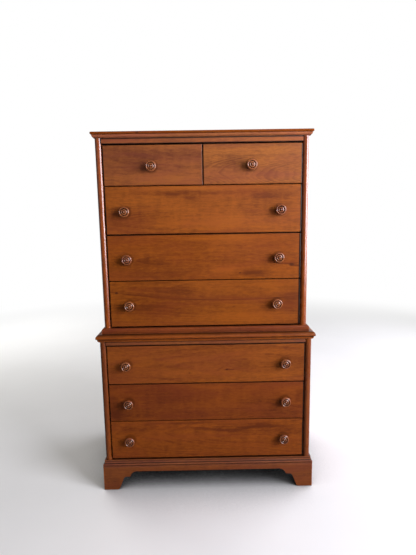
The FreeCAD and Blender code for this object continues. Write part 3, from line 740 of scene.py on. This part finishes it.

# The painted shade along each front's edges, for the gaps and the shaded stiles beside them: how
# far in it ends at the left and the right, in millimetres, and its strength below and above.  It
# is nearly opaque at the left and the right, and starts to fade at half and at 65% of its width
# there.
RIMS = {"small_drawer_left": (4.2, 1.2, 0.0, 0.9), "small_drawer_right": (1.2, 3.5, 0.0, 0.7),
        "upper_drawer_1": (4.8, 5.5, 1.0, 0.0), "upper_drawer_2": (3.8, 9.0, 0.0, 1.0),
        "upper_drawer_3": (4.6, 9.0, 0.6, 0.0), "lower_drawer_1": (2.2, 3.0, 0.6, 0.95),
        "lower_drawer_2": (2.5, 5.0, 0.2, 0.6), "lower_drawer_3": (2.6, 6.0, 0.8, 0.2)}
LONG_EDGE = (0.3 * MM, 2.2 * MM)         # where the painted shade below and above starts to end, and ends
for drawer, looks in FRONTS.items():
    left, right, below, above = RIMS[drawer]
    rim = [(0.97, 0.5 * left * MM, left * MM), (0.98, 0.65 * right * MM, right * MM),
           (below, *LONG_EDGE), (above, *LONG_EDGE)]
    frame["nodes"][drawer + "_front"].data.materials[0] = cherry(
        drawer + " cherry", "XZY", specular=0.2, front=span(drawer + "_front"), rim=rim,
        knobs=knob_centres(drawer), **looks)
print("fronts finished:", len(FRONTS))

# %% [markdown]
# ## The case sides
#
# Each side is one wide board whose front edge is a full round, and that round is what
# catches the light down both edges of the chest.  Hands polish it, so the broad face
# behind is duller.  The outline, seen from above, is carried straight up from the bottom
# of the case to its top.

# %% Case sides
def behind_edge(front):
    """A side board grows duller from one to four thicknesses behind its front edge."""
    return front + SIDE_THICKNESS, front + 4 * SIDE_THICKNESS, 0.24


NICK = (-0.239, 1.4155, 4.0 * MM)        # a dark spot in the front edge of the top
BOARD = dict(shine=0.20, specular=1.0)
MOULDED = dict(shine=0.30, specular=0.4, coat=0.2)
# Part of these tones is painted light: the lower side and the waist moulding are darker, painted
# shade, the noses lighter, painted light, and the cornice lighter and pinker, a painted sheen.
CASE_LOOKS = {
    "upper side": dict(BOARD, tone=(0.90, 0.81, 0.6), duller=behind_edge(UPPER_FRONT)),
    "lower side": dict(BOARD, tone=(0.65, 0.63, 0.6), duller=behind_edge(LOWER_FRONT)),
    "top": dict(shine=0.36, specular=0.12, coat=0.0, tone=(0.74, 0.73, 0.62), knots=[NICK]),
    "nose": dict(shine=0.32, tone=(0.90, 0.92, 0.9)),
    "cornice": dict(shine=0.32, tone=(1.14, 1.58, 5.0)),
    "waist": dict(MOULDED, tone=(0.59, 0.55, 1.1)),
    "base": dict(MOULDED, tone=(0.66, 0.83, 3.0)),
    "bracket": dict(MOULDED, tone=(0.69, 0.81, 1.9))}
CASE_WOODS = {name: cherry(name + " cherry", heart=(0.35, 0.18), year=4 * MM, **looks)
              for name, looks in CASE_LOOKS.items()}


def case_side(node, side, half, front):
    """A side board: outline in plan of round, outer face, back edge, rebate, inner face."""
    (_, _, z0), (_, _, z1) = span(node)
    radius = SIDE_THICKNESS / 2
    storey = node.split("_")[0]
    panel_low, panel_high = span(storey + "_back_panel")
    inner = half - SIDE_THICKNESS
    outline = np.vstack([turn((inner + radius, front + radius), radius, 180, 360, 33),
                         [(half, BACK), (panel_high[0], BACK),
                          (panel_high[0], panel_low[1]), (inner, panel_low[1])]])
    outline = divided(eased(outline))
    # Painted shade on the inner side of the round, where it turns into the dark gap beside the
    # drawers.
    painted_shade = painted_shade_along(outline, [(inner, front + radius, 5 * MM, 1.0),
                                 (inner, front + 1.6 * radius, 8 * MM, 1.0)])
    outline[:, 0] *= side
    ends = [np.column_stack([outline, np.full(len(outline), z)]) for z in (z0, z1)]
    piece(node + "_board", [loft(*ends, ALONG_Z, painted_shade)], "case", [node],
          CASE_WOODS[storey + " side"])


for label, side in SIDES:
    case_side("upper_side_" + label, side, UPPER_HALF, UPPER_FRONT)
    case_side("lower_side_" + label, side, LOWER_HALF, LOWER_FRONT)

# %% [markdown]
# ## Mouldings, mitred round the corners
#
# A moulding is one outline carried along the front and both sides.  At a mitre the
# outline is stretched along the cut: the further a point stands out from the case, the
# further it also reaches sideways.  So both ends of each length are the same outline,
# with its reach added to the place of the corner.

# %% A mitred moulding
def mitred(name, outline, quirks, half, front, wood):
    """The outline, (out from the case, up), along the front and both sides to the back."""
    node = name + "_moulding"
    outline = divided(outline)
    painted_shade = painted_shade_along(outline, quirks)
    out, up = outline.T
    level = span(node)[0][2] + up
    corner_left = np.column_stack([-half - out, front - out, level])
    corner_right = np.column_stack([half + out, front - out, level])
    shells = [loft(corner_left, corner_right, ALONG_X, painted_shade)]
    for corner in (corner_left, corner_right):
        tail = corner.copy()
        tail[:, 1] = BACK
        ends = (corner, tail) if corner is corner_right else (tail, corner)
        shells.append(loft(*ends, ALONG_Y, painted_shade))
    piece(name, shells, "case", [node], CASE_WOODS[wood])


print("mouldings run back to", round(BACK, 4))

# %% Their outlines
def bed_outline(height, reach, fillet=2 * MM):
    """A quarter round over a thin fillet: f + (w - f) sin a out and h - (h - f) cos a up."""
    angle = np.radians(np.linspace(0, 90, 14))
    belly = np.column_stack([fillet + (reach - fillet) * np.sin(angle),
                             height - (height - fillet) * np.cos(angle)])
    return eased(np.vstack([[(0, 0), (fillet, 0)], belly, [(0, height)]]), 0.4 * MM)


def waist_outline(height, reach):
    """An upright face rolled over into the case: a quarter circle on top."""
    return eased(np.vstack([[(0, 0), (reach, 0)],
                            turn((0, height - reach), reach, 0, 90, 14)]), 0.6 * MM)


BASE_FILLET = 6.5 * MM       # square edge under the bead
BASE_BEAD = 4.5 * MM         # radius of the half-round bead
BASE_CAP = 4.5 * MM          # height of the thin board along the top
CAP_REACH = 3.8 * MM
HOLLOW_REACH = 2.8 * MM      # the hollow ends a little behind the cap's face


def base_outline(height, reach):
    """A fillet, a half-round bead between two quirks, a hollow and a cap.

    The hollow is an arc from the bead to the cap that sags by the share 1 - sqrt(1/2).
    """
    quirk = reach - BASE_BEAD
    bead_top = BASE_FILLET + 2 * BASE_BEAD
    cap_bottom = height - BASE_CAP
    sag = math.sqrt(0.5)
    hollow = arc_through((quirk, bead_top),
                         (quirk - (quirk - HOLLOW_REACH) * sag,
                          cap_bottom - (cap_bottom - bead_top) * sag),
                         (HOLLOW_REACH, cap_bottom))
    return eased(np.vstack([[(0, 0), (reach, 0), (reach, BASE_FILLET), (quirk, BASE_FILLET)],
                            turn((quirk, BASE_FILLET + BASE_BEAD), BASE_BEAD, -90, 90, 21)[1:-1],
                            hollow, [(CAP_REACH, cap_bottom), (CAP_REACH, height), (0, height)]]),
                 0.4 * MM)


print("the base bead is", 2 * BASE_BEAD / MM, "mm thick")

# %% The four mouldings
def painted_quirk_shade(name, height, reach):
    """The places of each moulding where painted shade darkens it: (out, up, width, strength)."""
    quirk = reach - BASE_BEAD
    return {
        "cornice": [(0, 0, 2.5 * MM, 1.0), (reach, height, 1.5 * MM, 0.4)],
        "waist": [(reach, 0, 1.2 * MM, 0.6), (reach, 4.6 * MM, 1.5 * MM, 0.5),
                  (0, height, 2 * MM, 0.8)],
        "waist_bed": [(0, 0, 2.5 * MM, 0.6), (reach, height, 3.2 * MM, 1.0)],
        "base": [(quirk, BASE_FILLET, 2.8 * MM, 1.0),
                 (quirk, BASE_FILLET + 2 * BASE_BEAD, 2 * MM, 1.0),
                 (HOLLOW_REACH, height - BASE_CAP, 2 * MM, 0.7), (reach, 0, 1.2 * MM, 0.4),
                 (0, height, 1.8 * MM, 1.0)]}[name]


for name, outline_of, half, front, wood in (
        ("cornice", bed_outline, UPPER_HALF, UPPER_FRONT, "cornice"),
        ("waist", waist_outline, UPPER_HALF, UPPER_FRONT, "waist"),
        ("waist_bed", bed_outline, LOWER_HALF, LOWER_FRONT, "nose"),
        ("base", base_outline, LOWER_HALF, LOWER_FRONT, "base")):
    height = extent(name + "_moulding")[2]
    reach = span(name + "_moulding")[1][0] - half
    mitred(name, outline_of(height, reach), painted_quirk_shade(name, height, reach), half, front, wood)

# %% [markdown]
# ## Boards with a round nose
#
# The top and the waist board are flat, with a round nose along the front and both sides.
# The top's nose is a plain half round.  The waist board's is widest near its underside
# and rolls back in a long quarter round above, which carries the eye up to the moulding.
# A nose is a stack of outlines: from the underside they grow by one quarter round to the
# widest line, and from there they shrink again by a second one.  Painted shade darkens
# the underside of the nose and the waist shelf's top behind it along the front, and less of it
# along the sides.

# %% Nosed boards
CORNER_ROUND = 3.5 * MM      # of the front corners, seen from above
TURN_STEPS = 9               # points round such a corner
SIDE_SHADE_SHARE = 0.3             # the share of the painted shade kept along the sides


def nosed_board(name, node, nose_height, quirks, wood):
    """Rows of outlines, inset by r(1 - cos a) at height r sin a from the widest line.

    r is nose_height below that line and the rest of the thickness above it.
    """
    low, high = span(node)
    half = high[0]
    angle = np.radians(np.linspace(-90, 90, 25))
    radius = np.where(angle < 0, nose_height, high[2] - low[2] - nose_height)
    inset = radius * (1 - np.cos(angle))
    height = low[2] + nose_height + radius * np.sin(angle)
    rows = []
    for shrink, z in zip(inset, height):
        round_by = max(CORNER_ROUND - shrink, 0.6 * MM)
        reach = half - shrink - round_by
        nearest = low[1] + shrink + round_by
        left = turn((-reach, nearest), round_by, 180, 270, TURN_STEPS)
        right = turn((reach, nearest), round_by, 270, 360, TURN_STEPS)
        row = np.vstack([[(-half + shrink, BACK)], left, right, [(half - shrink, BACK)]])
        rows.append(np.column_stack([row, np.full(len(row), z)]))
    stack = np.array(rows)
    count, columns = stack.shape[:2]
    index = np.arange(count * columns).reshape(count, columns)
    quads = np.stack([index[:-1, :-1], index[:-1, 1:], index[1:, 1:], index[1:, :-1]], axis=-1)
    rim = np.vstack([stack[:, 0], stack[::-1, -1]])
    first = count * columns
    faces = quads.reshape(-1, 4).tolist()
    faces += [index[-1].tolist(), index[0][::-1].tolist(),
              list(range(first, first + len(rim)))]
    points = np.vstack([stack.reshape(-1, 3), rim])
    painted_shade = painted_shade_along(np.column_stack([inset, height - low[2]]), quirks)
    facing = np.sin(np.radians(np.linspace(0, 90, TURN_STEPS)))
    facing = np.concatenate([[0], facing, facing[::-1], [0]])
    painted_shade = np.outer(painted_shade, SIDE_SHADE_SHARE + (1 - SIDE_SHADE_SHARE) * facing).ravel()
    painted_shade = np.append(painted_shade, np.zeros(len(rim)))
    piece(name, [(points, faces, ALONG_X, painted_shade)], "case", [node],
          CASE_WOODS[wood])


top_nose = extent("top_board")[2] / 2
nosed_board("top", "top_board", top_nose, [(top_nose, 0, 2 * MM, 0.8)], "top")
nosed_board("waist_shelf", "waist_board", 5 * MM,
            [(4 * MM, 0.5 * MM, 3.2 * MM, 1.0), (13 * MM, extent("waist_board")[2], 12 * MM, 0.9)],
            "nose")

# %% [markdown]
# ## Scrolled brackets
#
# A bracket is sawn from a board: a slanting foot, a small arch, a cusp, a larger arch and
# then the straight apron.  The front edges are eased by letting the outline shrink a
# little as it nears the face, and the front corners are mitred by drawing in the ends
# as the board goes back.

# %% The scrolled outline
TOE, ANKLE, CUSP, ARCH = [
    np.array(place) * MM for place in ((61, 0), (84.3, 55.7), (108, 57.5), (143, 79.5))]
TOE_ROUND, ANKLE_ROUND = 12 * MM, 13 * MM
front_low, front_high = span("bracket_base_front")
BRACKET_THICKNESS = front_high[1] - front_low[1]


def bracket_outline(length):
    """Half the scrolled outline, its mirror image, and the straight top."""
    reach = ARCH - CUSP
    middle = ARCH - reach * math.sqrt(0.5)
    upper_arch = arc_through(CUSP, (middle[0], CUSP[1] + reach[1] * math.sqrt(0.5)), ARCH)
    foot = np.vstack([[(0, front_high[2]), (0, 0)], rounded((0, 0), TOE, ANKLE, TOE_ROUND),
                      rounded(TOE, ANKLE, CUSP, ANKLE_ROUND), upper_arch])
    other = foot[::-1] * (-1, 1) + (length, 0)
    return np.vstack([foot, other])


def shrunk(loop, distance):
    """Each corner moved in by d (n1 + n2) / (1 + n1 . n2), n1 and n2 its sides' normals."""
    side = np.roll(loop, -1, axis=0) - loop
    normal = np.column_stack([-side[:, 1], side[:, 0]])
    normal /= np.linalg.norm(normal, axis=1, keepdims=True)
    before = np.roll(normal, 1, axis=0)
    return loop + distance * (before + normal) / (1 + (before * normal).sum(1))[:, None]


print("half the outline of a bracket has", len(bracket_outline(1.0)) // 2, "points")

# %% Three brackets
def bracket(name, node, length, place, back_mitred, axes, ease=1.2 * MM):
    """Outlines shrunk by e(1 - sin a) at depth e(1 - cos a), then straight to the back.

    place(along, up, depth) gives the point in the chest.  The front end is drawn in by
    the depth, for its mitre, and so is the other end if back_mitred says so.
    """
    outline = bracket_outline(length)
    angle = np.radians(np.linspace(0, 90, 6))
    shrink = np.append(ease * (1 - np.sin(angle)), 0.0)
    depth = np.append(ease * (1 - np.cos(angle)), BRACKET_THICKNESS)
    loops = []
    for drawn, back in zip(shrink, depth):
        loop = eased(shrunk(outline, drawn), 0.8 * MM)
        end = length - back if back_mitred else length
        loops.append(place(np.clip(loop[:, 0], back, end), loop[:, 1], back))
    stations = np.array(loops)
    count = stations.shape[1]
    total = stations.shape[0] * count
    face = list(range(count))[::-1]
    rear = list(range(total, total + count))
    points = np.vstack([stations.reshape(-1, 3), stations[-1]])
    piece(name, [(points, tube(stations) + [face, rear], axes, 0.0)], "case", [node],
          CASE_WOODS["bracket"])


bracket("front_bracket", "bracket_base_front", front_high[0] - front_low[0],
        lambda along, up, back: np.column_stack([front_low[0] + along,
                                                 np.full(len(up), front_low[1] + back), up]),
        True, ALONG_X)
for label, side in SIDES:
    bracket(label + "_bracket", "bracket_base_" + label, BACK - front_low[1],
            lambda along, up, back, side=side: np.column_stack(
                [np.full(len(up), side * (front_high[0] - back)), front_low[1] + along, up]),
            False, ALONG_Y)

# %% [markdown]
# ## Turned knobs
#
# A knob is turned on a lathe, so it is one outline spun round an axis: a foot, a waisted
# neck, a rolled rim and a face with rings cut into it round a small button.  The outline
# is a smooth curve through a few places, each a radius and a height above the drawer.

# %% The outline of a knob
KNOB_PLACES = np.array([
    (10.4, 0.0), (10.3, 1.2), (8.3, 3.6), (7.5, 7.0), (8.6, 11.2), (12.4, 14.0),
    (17.2, 15.8), (19.6, 17.6), (20.0, 19.4), (19.4, 21.3), (17.9, 23.0), (16.3, 23.7),
    (14.8, 23.2), (13.7, 22.0), (12.8, 21.2), (11.9, 21.6), (10.6, 22.8), (9.0, 23.6),
    (7.4, 23.9), (6.1, 23.2), (5.2, 22.7), (4.0, 24.2), (2.2, 25.7), (0.0, 26.0)]) * MM
# The rings cut in the face, the foot and the neck under the head get painted shade.
KNOB_QUIRKS = np.array([(12.7, 21.3, 1.7, 1.0), (5.4, 22.8, 1.7, 1.0), (10.3, 0.0, 4.0, 1.0),
                        (7.5, 7.0, 5.0, 0.8)]) * (MM, MM, MM, 1)


def smooth_curve(places, steps=5):
    """A Catmull-Rom curve: between b and c it is half of
    2b + (c - a)t + (2a - 5b + 4c - d)t^2 + (3b - a - 3c + d)t^3."""
    padded = np.vstack([2 * places[0] - places[1], places, places[-1] * (-1, 1)])
    a, b, c, d = (padded[i:len(padded) - 3 + i, None, :] for i in range(4))
    t = np.linspace(0, 1, steps, endpoint=False)[None, :, None]
    curve = 0.5 * (2 * b + (c - a) * t + (2 * a - 5 * b + 4 * c - d) * t ** 2
                   + (3 * b - a - 3 * c + d) * t ** 3)
    return np.vstack([curve.reshape(-1, 2), places[-1:]])


knob_outline = smooth_curve(KNOB_PLACES)
knob_painted_shade = painted_shade_along(knob_outline, KNOB_QUIRKS)
print("the outline of a knob has", len(knob_outline), "points")

# %% Knobs
def spun(outline, painted_shade, centre, face, around=72):
    """(radius cos a, -height, radius sin a) round the knob's axis, closed at both ends."""
    angle = np.linspace(0, 2 * np.pi, around, endpoint=False)
    radius, height = outline[:-1].T
    x = centre[0] + radius[:, None] * np.cos(angle)
    z = centre[1] + radius[:, None] * np.sin(angle)
    y = np.broadcast_to((face - height)[:, None], x.shape)
    rings = np.stack([x, y, z], axis=-1)
    count = rings.shape[0] * around
    last = np.arange(count - around, count)
    tip = np.array([[centre[0], face - outline[-1, 1], centre[1]]])
    fan = np.stack([last, np.roll(last, -1), np.full(around, count)], axis=-1)
    faces = tube(rings) + fan.tolist() + [list(range(around))[::-1]]
    return np.vstack([rings.reshape(-1, 3), tip]), faces, ALONG_X, np.append(
        np.repeat(painted_shade[:-1], around), painted_shade[-1])


knob_wood = cherry("knob cherry", None, worn=0.3, shine=0.21, specular=0.7,
                   tone=(0.80, 1.08, 3.2), heart=(0.9, 0.3))
for drawer in FRONTS:
    face = span(drawer + "_knobs")[1][1]
    piece(drawer + "_turned_knobs",
          [spun(knob_outline, knob_painted_shade, centre, face) for centre in knob_centres(drawer)],
          drawer, [drawer + "_knobs"], knob_wood)

# %% [markdown]
# ## The woods inside
#
# Drawer boxes, runners and frames are poplar: pale, a little green, barely figured and
# left without stain.  The backs and dust panels are thin plywood.  The rails could be
# pieces of their own, but they are glued into their frames, so the front of each frame
# is stained cherry as far back as anyone can see past a drawer.  The web and bottom frames'
# fronts are stained very dark, and the frieze rails darker towards the gaps: painted shade
# for the deep gaps between and above the drawers.

# %% Poplar and plywood
RAIL_STAIN = 24 * MM         # how far back from the case's front edge the rails are stained
POPLAR = ((0.62, 0.47, 0.27), (0.42, 0.30, 0.16))
PLYWOOD = ((0.45, 0.29, 0.15), (0.28, 0.165, 0.08))


def run_of_board(sh, axis):
    """Along, across and into a box or frame's board: (x, z, y), or (y, z, y) on a face
    that looks sideways, because that belongs to a board running from front to back."""
    normal = sh.apart(sh.add("ShaderNodeTexCoord").outputs["Normal"])
    sideways = sh.math("GREATER_THAN", sh.math("ABSOLUTE", normal[0]), 0.7)
    swap = sh.times(sideways, sh.math("SUBTRACT", axis[1], axis[0]))
    return sh.join(sh.plus(axis[0], swap), axis[2], axis[1])


def plain_wood(name, colours, order=None, stained=None, gap=None):
    """Unstained wood between two colours, with its front stained cherry.

    stained is (how far back, tone).  gap is (bottom, top, dark): the heights between which
    the stain shows, with painted shade towards both, and how far down it reaches from the upper
    one.
    """
    sh = new_finish(name)
    axis = sh.apart(sh.place())
    place = board_place(sh, order) if order else run_of_board(sh, axis)
    marks = board_figure(sh, place, heart=(0.2, 0.5), year=6 * MM, ripple=0.12, seed=0.5)
    amount = 0.0
    for mark, share in (("ring", 0.45), ("cloud", 0.6), ("fibre", 0.35)):
        amount = sh.times_plus(marks[mark], share, amount)
    colour = sh.mix(sh.fade(amount, 0.25, 1.2), *colours)
    colour = sh.mix(sh.times(marks["flecks"], 0.25), colour, scaled(colours[1], 0.5))
    rough = sh.fade(marks["cloud"], 0.3, 0.8, 0.55, 0.7)
    if stained:
        stain, _, _ = cherry_colour(sh, sh.join(axis[0], axis[2], axis[1]), tone=stained[1])
        if gap:
            bottom, top, dark = gap
            # Painted shade on the frieze rail: darker towards the drawer gap below and the
            # moulding above.
            low = sh.fade(axis[2], bottom, bottom + 3.5 * MM, 0.95, 0.0)
            high = sh.fade(axis[2], top - dark, top - 0.35 * dark, 0.0, 0.95)
            stain = sh.mix(sh.math("MAXIMUM", low, high), stain, PAINTED_SHADE_COLOUR)
        facing = sh.math("LESS_THAN", axis[1], stained[0])
        colour = sh.mix(facing, colour, stain)
        rough = sh.math("SUBTRACT", rough, sh.times(facing, 0.25))
    return sh.surface(colour, rough, marks["fibre"], 0.08 * MM)


print("poplar goes from", *POPLAR, "and plywood from", *PLYWOOD)

# %% Screws
sh = new_finish("zinc screws")
speckle = sh.noise(sh.place(), (900, 900, 900), detail=2.0)
zinc = sh.mix(sh.fade(speckle, 0.3, 0.7), (0.50, 0.49, 0.46), (0.30, 0.29, 0.26))
screw_metal = sh.surface(zinc, sh.fade(speckle, 0.3, 0.7, 0.3, 0.5), speckle, 0.02 * MM,
                         Metallic=1.0)
print("screw metal made:", screw_metal.name)

# %% The inside, piece by piece
def frieze(drawer, gap, moulding, dark):
    """Where a frieze rail shows, between a drawer and a moulding, and how far down from the
    moulding its painted shade reaches.
    """
    return span(drawer + "_front")[1][2] + gap, span(moulding)[0][2], dark


# The web frames' fronts get a very dark tone, painted shade for the deep gaps between the drawers.
upper_rail, lower_rail = UPPER_FRONT + RAIL_STAIN, LOWER_FRONT + RAIL_STAIN
upper_web = plain_wood("upper web poplar", POPLAR, stained=(upper_rail, 0.22))
lower_web = plain_wood("lower web poplar", POPLAR, stained=(lower_rail, 0.14))
frame_wood = plain_wood("frame poplar", POPLAR)
WOOD_BY_ENDING = {
    "_box": plain_wood("drawer poplar", POPLAR),
    "_back_panel": plain_wood("plywood", PLYWOOD, "ZXY"),
    "screws": screw_metal,
    "corner_blocks": frame_wood,
    "bracket_base_back": frame_wood,
    "small_drawer_partition": plain_wood("partition poplar", POPLAR, "ZXY",
                                         (upper_rail, (0.50, 0.55, 1.2))),
    "upper_top_frame": plain_wood(
        "upper_top_frame wood", POPLAR, "XZY", (upper_rail, (0.92, 1.10, 2.4)),
        frieze("small_drawer_left", 5 * MM, "cornice_moulding", 6.5 * MM)),
    "lower_top_frame": plain_wood(
        "lower_top_frame wood", POPLAR, "XZY", (lower_rail, (0.70, 0.87, 2.3)),
        frieze("lower_drawer_1", 3.5 * MM, "waist_bed_moulding", 4 * MM)),
    # The bottom frames' fronts get a very dark tone too, painted shade where they show past the
    # drawers.
    "upper_bottom_frame": plain_wood("upper_bottom_frame wood", POPLAR, "XZY",
                                     (upper_rail, 0.12)),
    "lower_bottom_frame": plain_wood("lower_bottom_frame wood", POPLAR, "XZY",
                                     (lower_rail, 0.12))}
for name, node in frame["nodes"].items():
    wood = next((WOOD_BY_ENDING[end] for end in WOOD_BY_ENDING if name.endswith(end)), None)
    if name.startswith("web_frame"):
        wood = upper_web if span(name)[0][2] > LOWER_TOP else lower_web
    if wood is not None:
        node.data.materials[0] = wood
        print(name, "is", wood.name)

# %% [markdown]
# ## The floor
#
# The chest stands on a pale floor that runs into a white backdrop.  A curved backdrop
# would need a large mesh and would catch shadows, so the floor is one flat face whose
# colour turns into plain white with the distance.  What it gives back to the chest is
# dim, because a bright floor would wash out the undersides and the feet.

# %% Floor and backdrop
FADE_START, FADE_END = 1.3, 4.2      # metres from the chest, over which the floor turns white
FLOOR_REACH = 30.0
FLOOR_COLOURS = ((0.87, 0.86, 0.83), (0.81, 0.80, 0.77))
UNSEEN_FLOOR = (0.12, 0.12, 0.12)            # what lights the chest from below
CONTACT_SHADE = (0.004, 0.005, 0.006)        # close under it
BLACK = (0.0, 0.0, 0.0)


def stage_floor():
    """A wide floor, pale to the eye and in gloss, and dim where it would light the chest.

    The share of plain white grows with the distance from the chest, a smooth step from
    FADE_START to FADE_END, so the floor runs into the backdrop without a horizon.
    """
    mesh = bpy.data.meshes.new("studio_floor")
    corners = np.array([(-1, -1, 0), (1, -1, 0), (1, 1, 0), (-1, 1, 0)]) * FLOOR_REACH
    mesh.from_pydata(corners.tolist(), [], [(0, 1, 2, 3)])
    floor = bpy.data.objects.new("studio_floor", mesh)
    bpy.context.scene.collection.objects.link(floor)
    sh = new_finish("pale floor")
    rays = sh.add("ShaderNodeLightPath").outputs
    place = sh.place()
    behind = sh.fade(sh.apart(place)[1], 0.1, 1.1)
    mirrored = sh.math("MAXIMUM", rays["Is Glossy Ray"], rays["Is Transmission Ray"])
    seen = sh.math("MAXIMUM", rays["Is Camera Ray"], sh.times(mirrored, behind))
    grit = sh.noise(place, (3, 3, 3), detail=4.0)
    white = sh.times(seen, sh.fade(sh.length(place), FADE_START, FADE_END))
    colour = sh.mix(seen, UNSEEN_FLOOR, sh.mix(grit, *FLOOR_COLOURS))
    colour = sh.mix(white, colour, BLACK)
    # Painted contact shadow: the floor's colour darkens close under and round the chest.
    contact = sh.add("ShaderNodeAmbientOcclusion", {"Distance": 0.35}, samples=8).outputs["AO"]
    colour = sh.mix(sh.fade(contact, 0.85, 0.1), colour, CONTACT_SHADE)
    mesh.materials.append(sh.surface(colour, 0.8, grit, 0.2 * MM, white,
                                     Specular_IOR_Level=0.0))


stage_floor()
print("the floor turns white between", FADE_START, "and", FADE_END, "m from the chest")

# %% [markdown]
# ## The room and its lamps
#
# Polished wood shows the room it stands in.  A room could be built round the chest, but a
# world that answers each ray by its direction does the same: dark in front, so that the
# fronts keep their colour, and pale to the sides and behind, so that the rounded edges
# keep their light.  Four soft lamps light it.  Two stand on the right, like a window and
# the wall beside it, and draw a long highlight down the stiles and the knobs.  The other
# two only lighten the shadows, and gloss doesn't show them.

# %% The studio around it
DIFFUSE_LIGHT = 0.16         # from all round the chest
DARK_ROOM = 0.03             # what gloss shows straight in front of the chest
PALE_WALLS = 0.35            # and to its left and right


def studio_world():
    """White to the camera; a dimmer room lights the chest.

    With x and y a ray's direction, gloss sees DARK_ROOM in front of the chest, PALE_WALLS
    as -x^2 y grows from 0 to 0.15, and white as x + y grows from 0.3 to 1.1: that is
    behind the chest and on the window's side.
    """
    world = bpy.data.worlds.new("studio")
    bpy.context.scene.world = world
    sh = Finish(world)
    rays = sh.add("ShaderNodeLightPath").outputs
    x, y, _ = sh.apart(sh.add("ShaderNodeTexCoord").outputs["Generated"])
    mirrored = sh.math("MAXIMUM", rays["Is Glossy Ray"], rays["Is Transmission Ray"])
    aside = sh.times(sh.times(x, x), y)
    room = sh.fade(aside, 0.0, -0.15, DARK_ROOM, PALE_WALLS, "LINEAR")
    in_gloss = sh.fade(sh.plus(x, y), 0.3, 1.1, room, 1.0, "LINEAR")
    strength = sh.fade(mirrored, 0.0, 1.0, DIFFUSE_LIGHT, in_gloss, "LINEAR")
    strength = sh.fade(rays["Is Camera Ray"], 0.0, 1.0, strength, 1.0, "LINEAR")
    background = sh.add("ShaderNodeBackground", {"Color": (1, 1, 1, 1), "Strength": strength})
    return sh.output("ShaderNodeOutputWorld", background)


print("world:", studio_world().name, "with light", DIFFUSE_LIGHT, "from all round")

# %% Lamps
DAYLIGHT = (1.0, 1.0, 1.12)
WHITE = (1.0, 1.0, 1.0)


def lamp(name, place, target, size, power, colour, in_gloss=True, spread=180):
    """A soft rectangular lamp that looks at a point; in_gloss says if gloss shows it."""
    light = bpy.data.lights.new(name, "AREA")
    light.color = colour
    light.shape = "RECTANGLE"
    light.size, light.size_y = size
    light.energy = power
    light.spread = math.radians(spread)
    holder = bpy.data.objects.new(name, light)
    direction = Vector(target) - Vector(place)
    holder.matrix_world = (Matrix.Translation(place)
                           @ direction.to_track_quat("-Z", "Y").to_matrix().to_4x4())
    holder.visible_camera = False
    holder.visible_glossy = in_gloss
    bpy.context.scene.collection.objects.link(holder)
    print("the", name, "lamp gives", power, "W from", round(direction.length, 2), "m away")


lamp("window", (2.3, -1.7, 1.6), (0.0, -0.2, 1.35), (1.7, 2.0), 62, DAYLIGHT, spread=110)
lamp("side", (2.7, 1.1, 1.6), (0.4, 0.0, 1.2), (2.6, 2.0), 78, DAYLIGHT)
lamp("room", (0.5, -3.4, 2.3), (0.0, -0.2, 1.2), (2.4, 1.4), 28, WHITE, in_gloss=False)
lamp("fill", (-2.4, 2.4, 1.7), (0.0, 0.2, 0.8), (2.0, 2.0), 60, WHITE, in_gloss=False)

# %% [markdown]
# ## The camera
#
# The camera stands about 1.5 m in front of the chest, a little above its middle, and is
# tilted slightly down, as someone holds one.  Its three small angles are written as
# turned axes, which become the columns of its matrix: to the right, up and backwards.

# %% Camera
LENS, SENSOR = 25.95, 36
CAMERA_PLACE = Vector((0.00236, -1.73436, 1.09731))
PITCH, YAW, ROLL = (math.radians(angle) for angle in (8.3107, -0.3877, -0.9177))

right = Vector((math.cos(YAW), math.sin(YAW), 0))
ahead = Vector((-math.sin(YAW), math.cos(YAW), 0))
up = Vector((0, 0, 1))
looking = ahead * math.cos(PITCH) - up * math.sin(PITCH)
upright = up * math.cos(PITCH) + ahead * math.sin(PITCH)
level = right * math.cos(ROLL) + upright * math.sin(ROLL)
top = upright * math.cos(ROLL) - right * math.sin(ROLL)

camera_data = bpy.data.cameras.new("camera")
camera_data.lens = LENS
camera_data.sensor_width = SENSOR
camera = bpy.data.objects.new("camera", camera_data)
camera.matrix_world = (Matrix.Translation(CAMERA_PLACE)
                       @ Matrix((level, top, -looking)).transposed().to_4x4())
bpy.context.scene.collection.objects.link(camera)
bpy.context.scene.camera = camera
bpy.context.scene.view_settings.view_transform = "Standard"
print("the camera stands at", [round(value, 3) for value in CAMERA_PLACE])
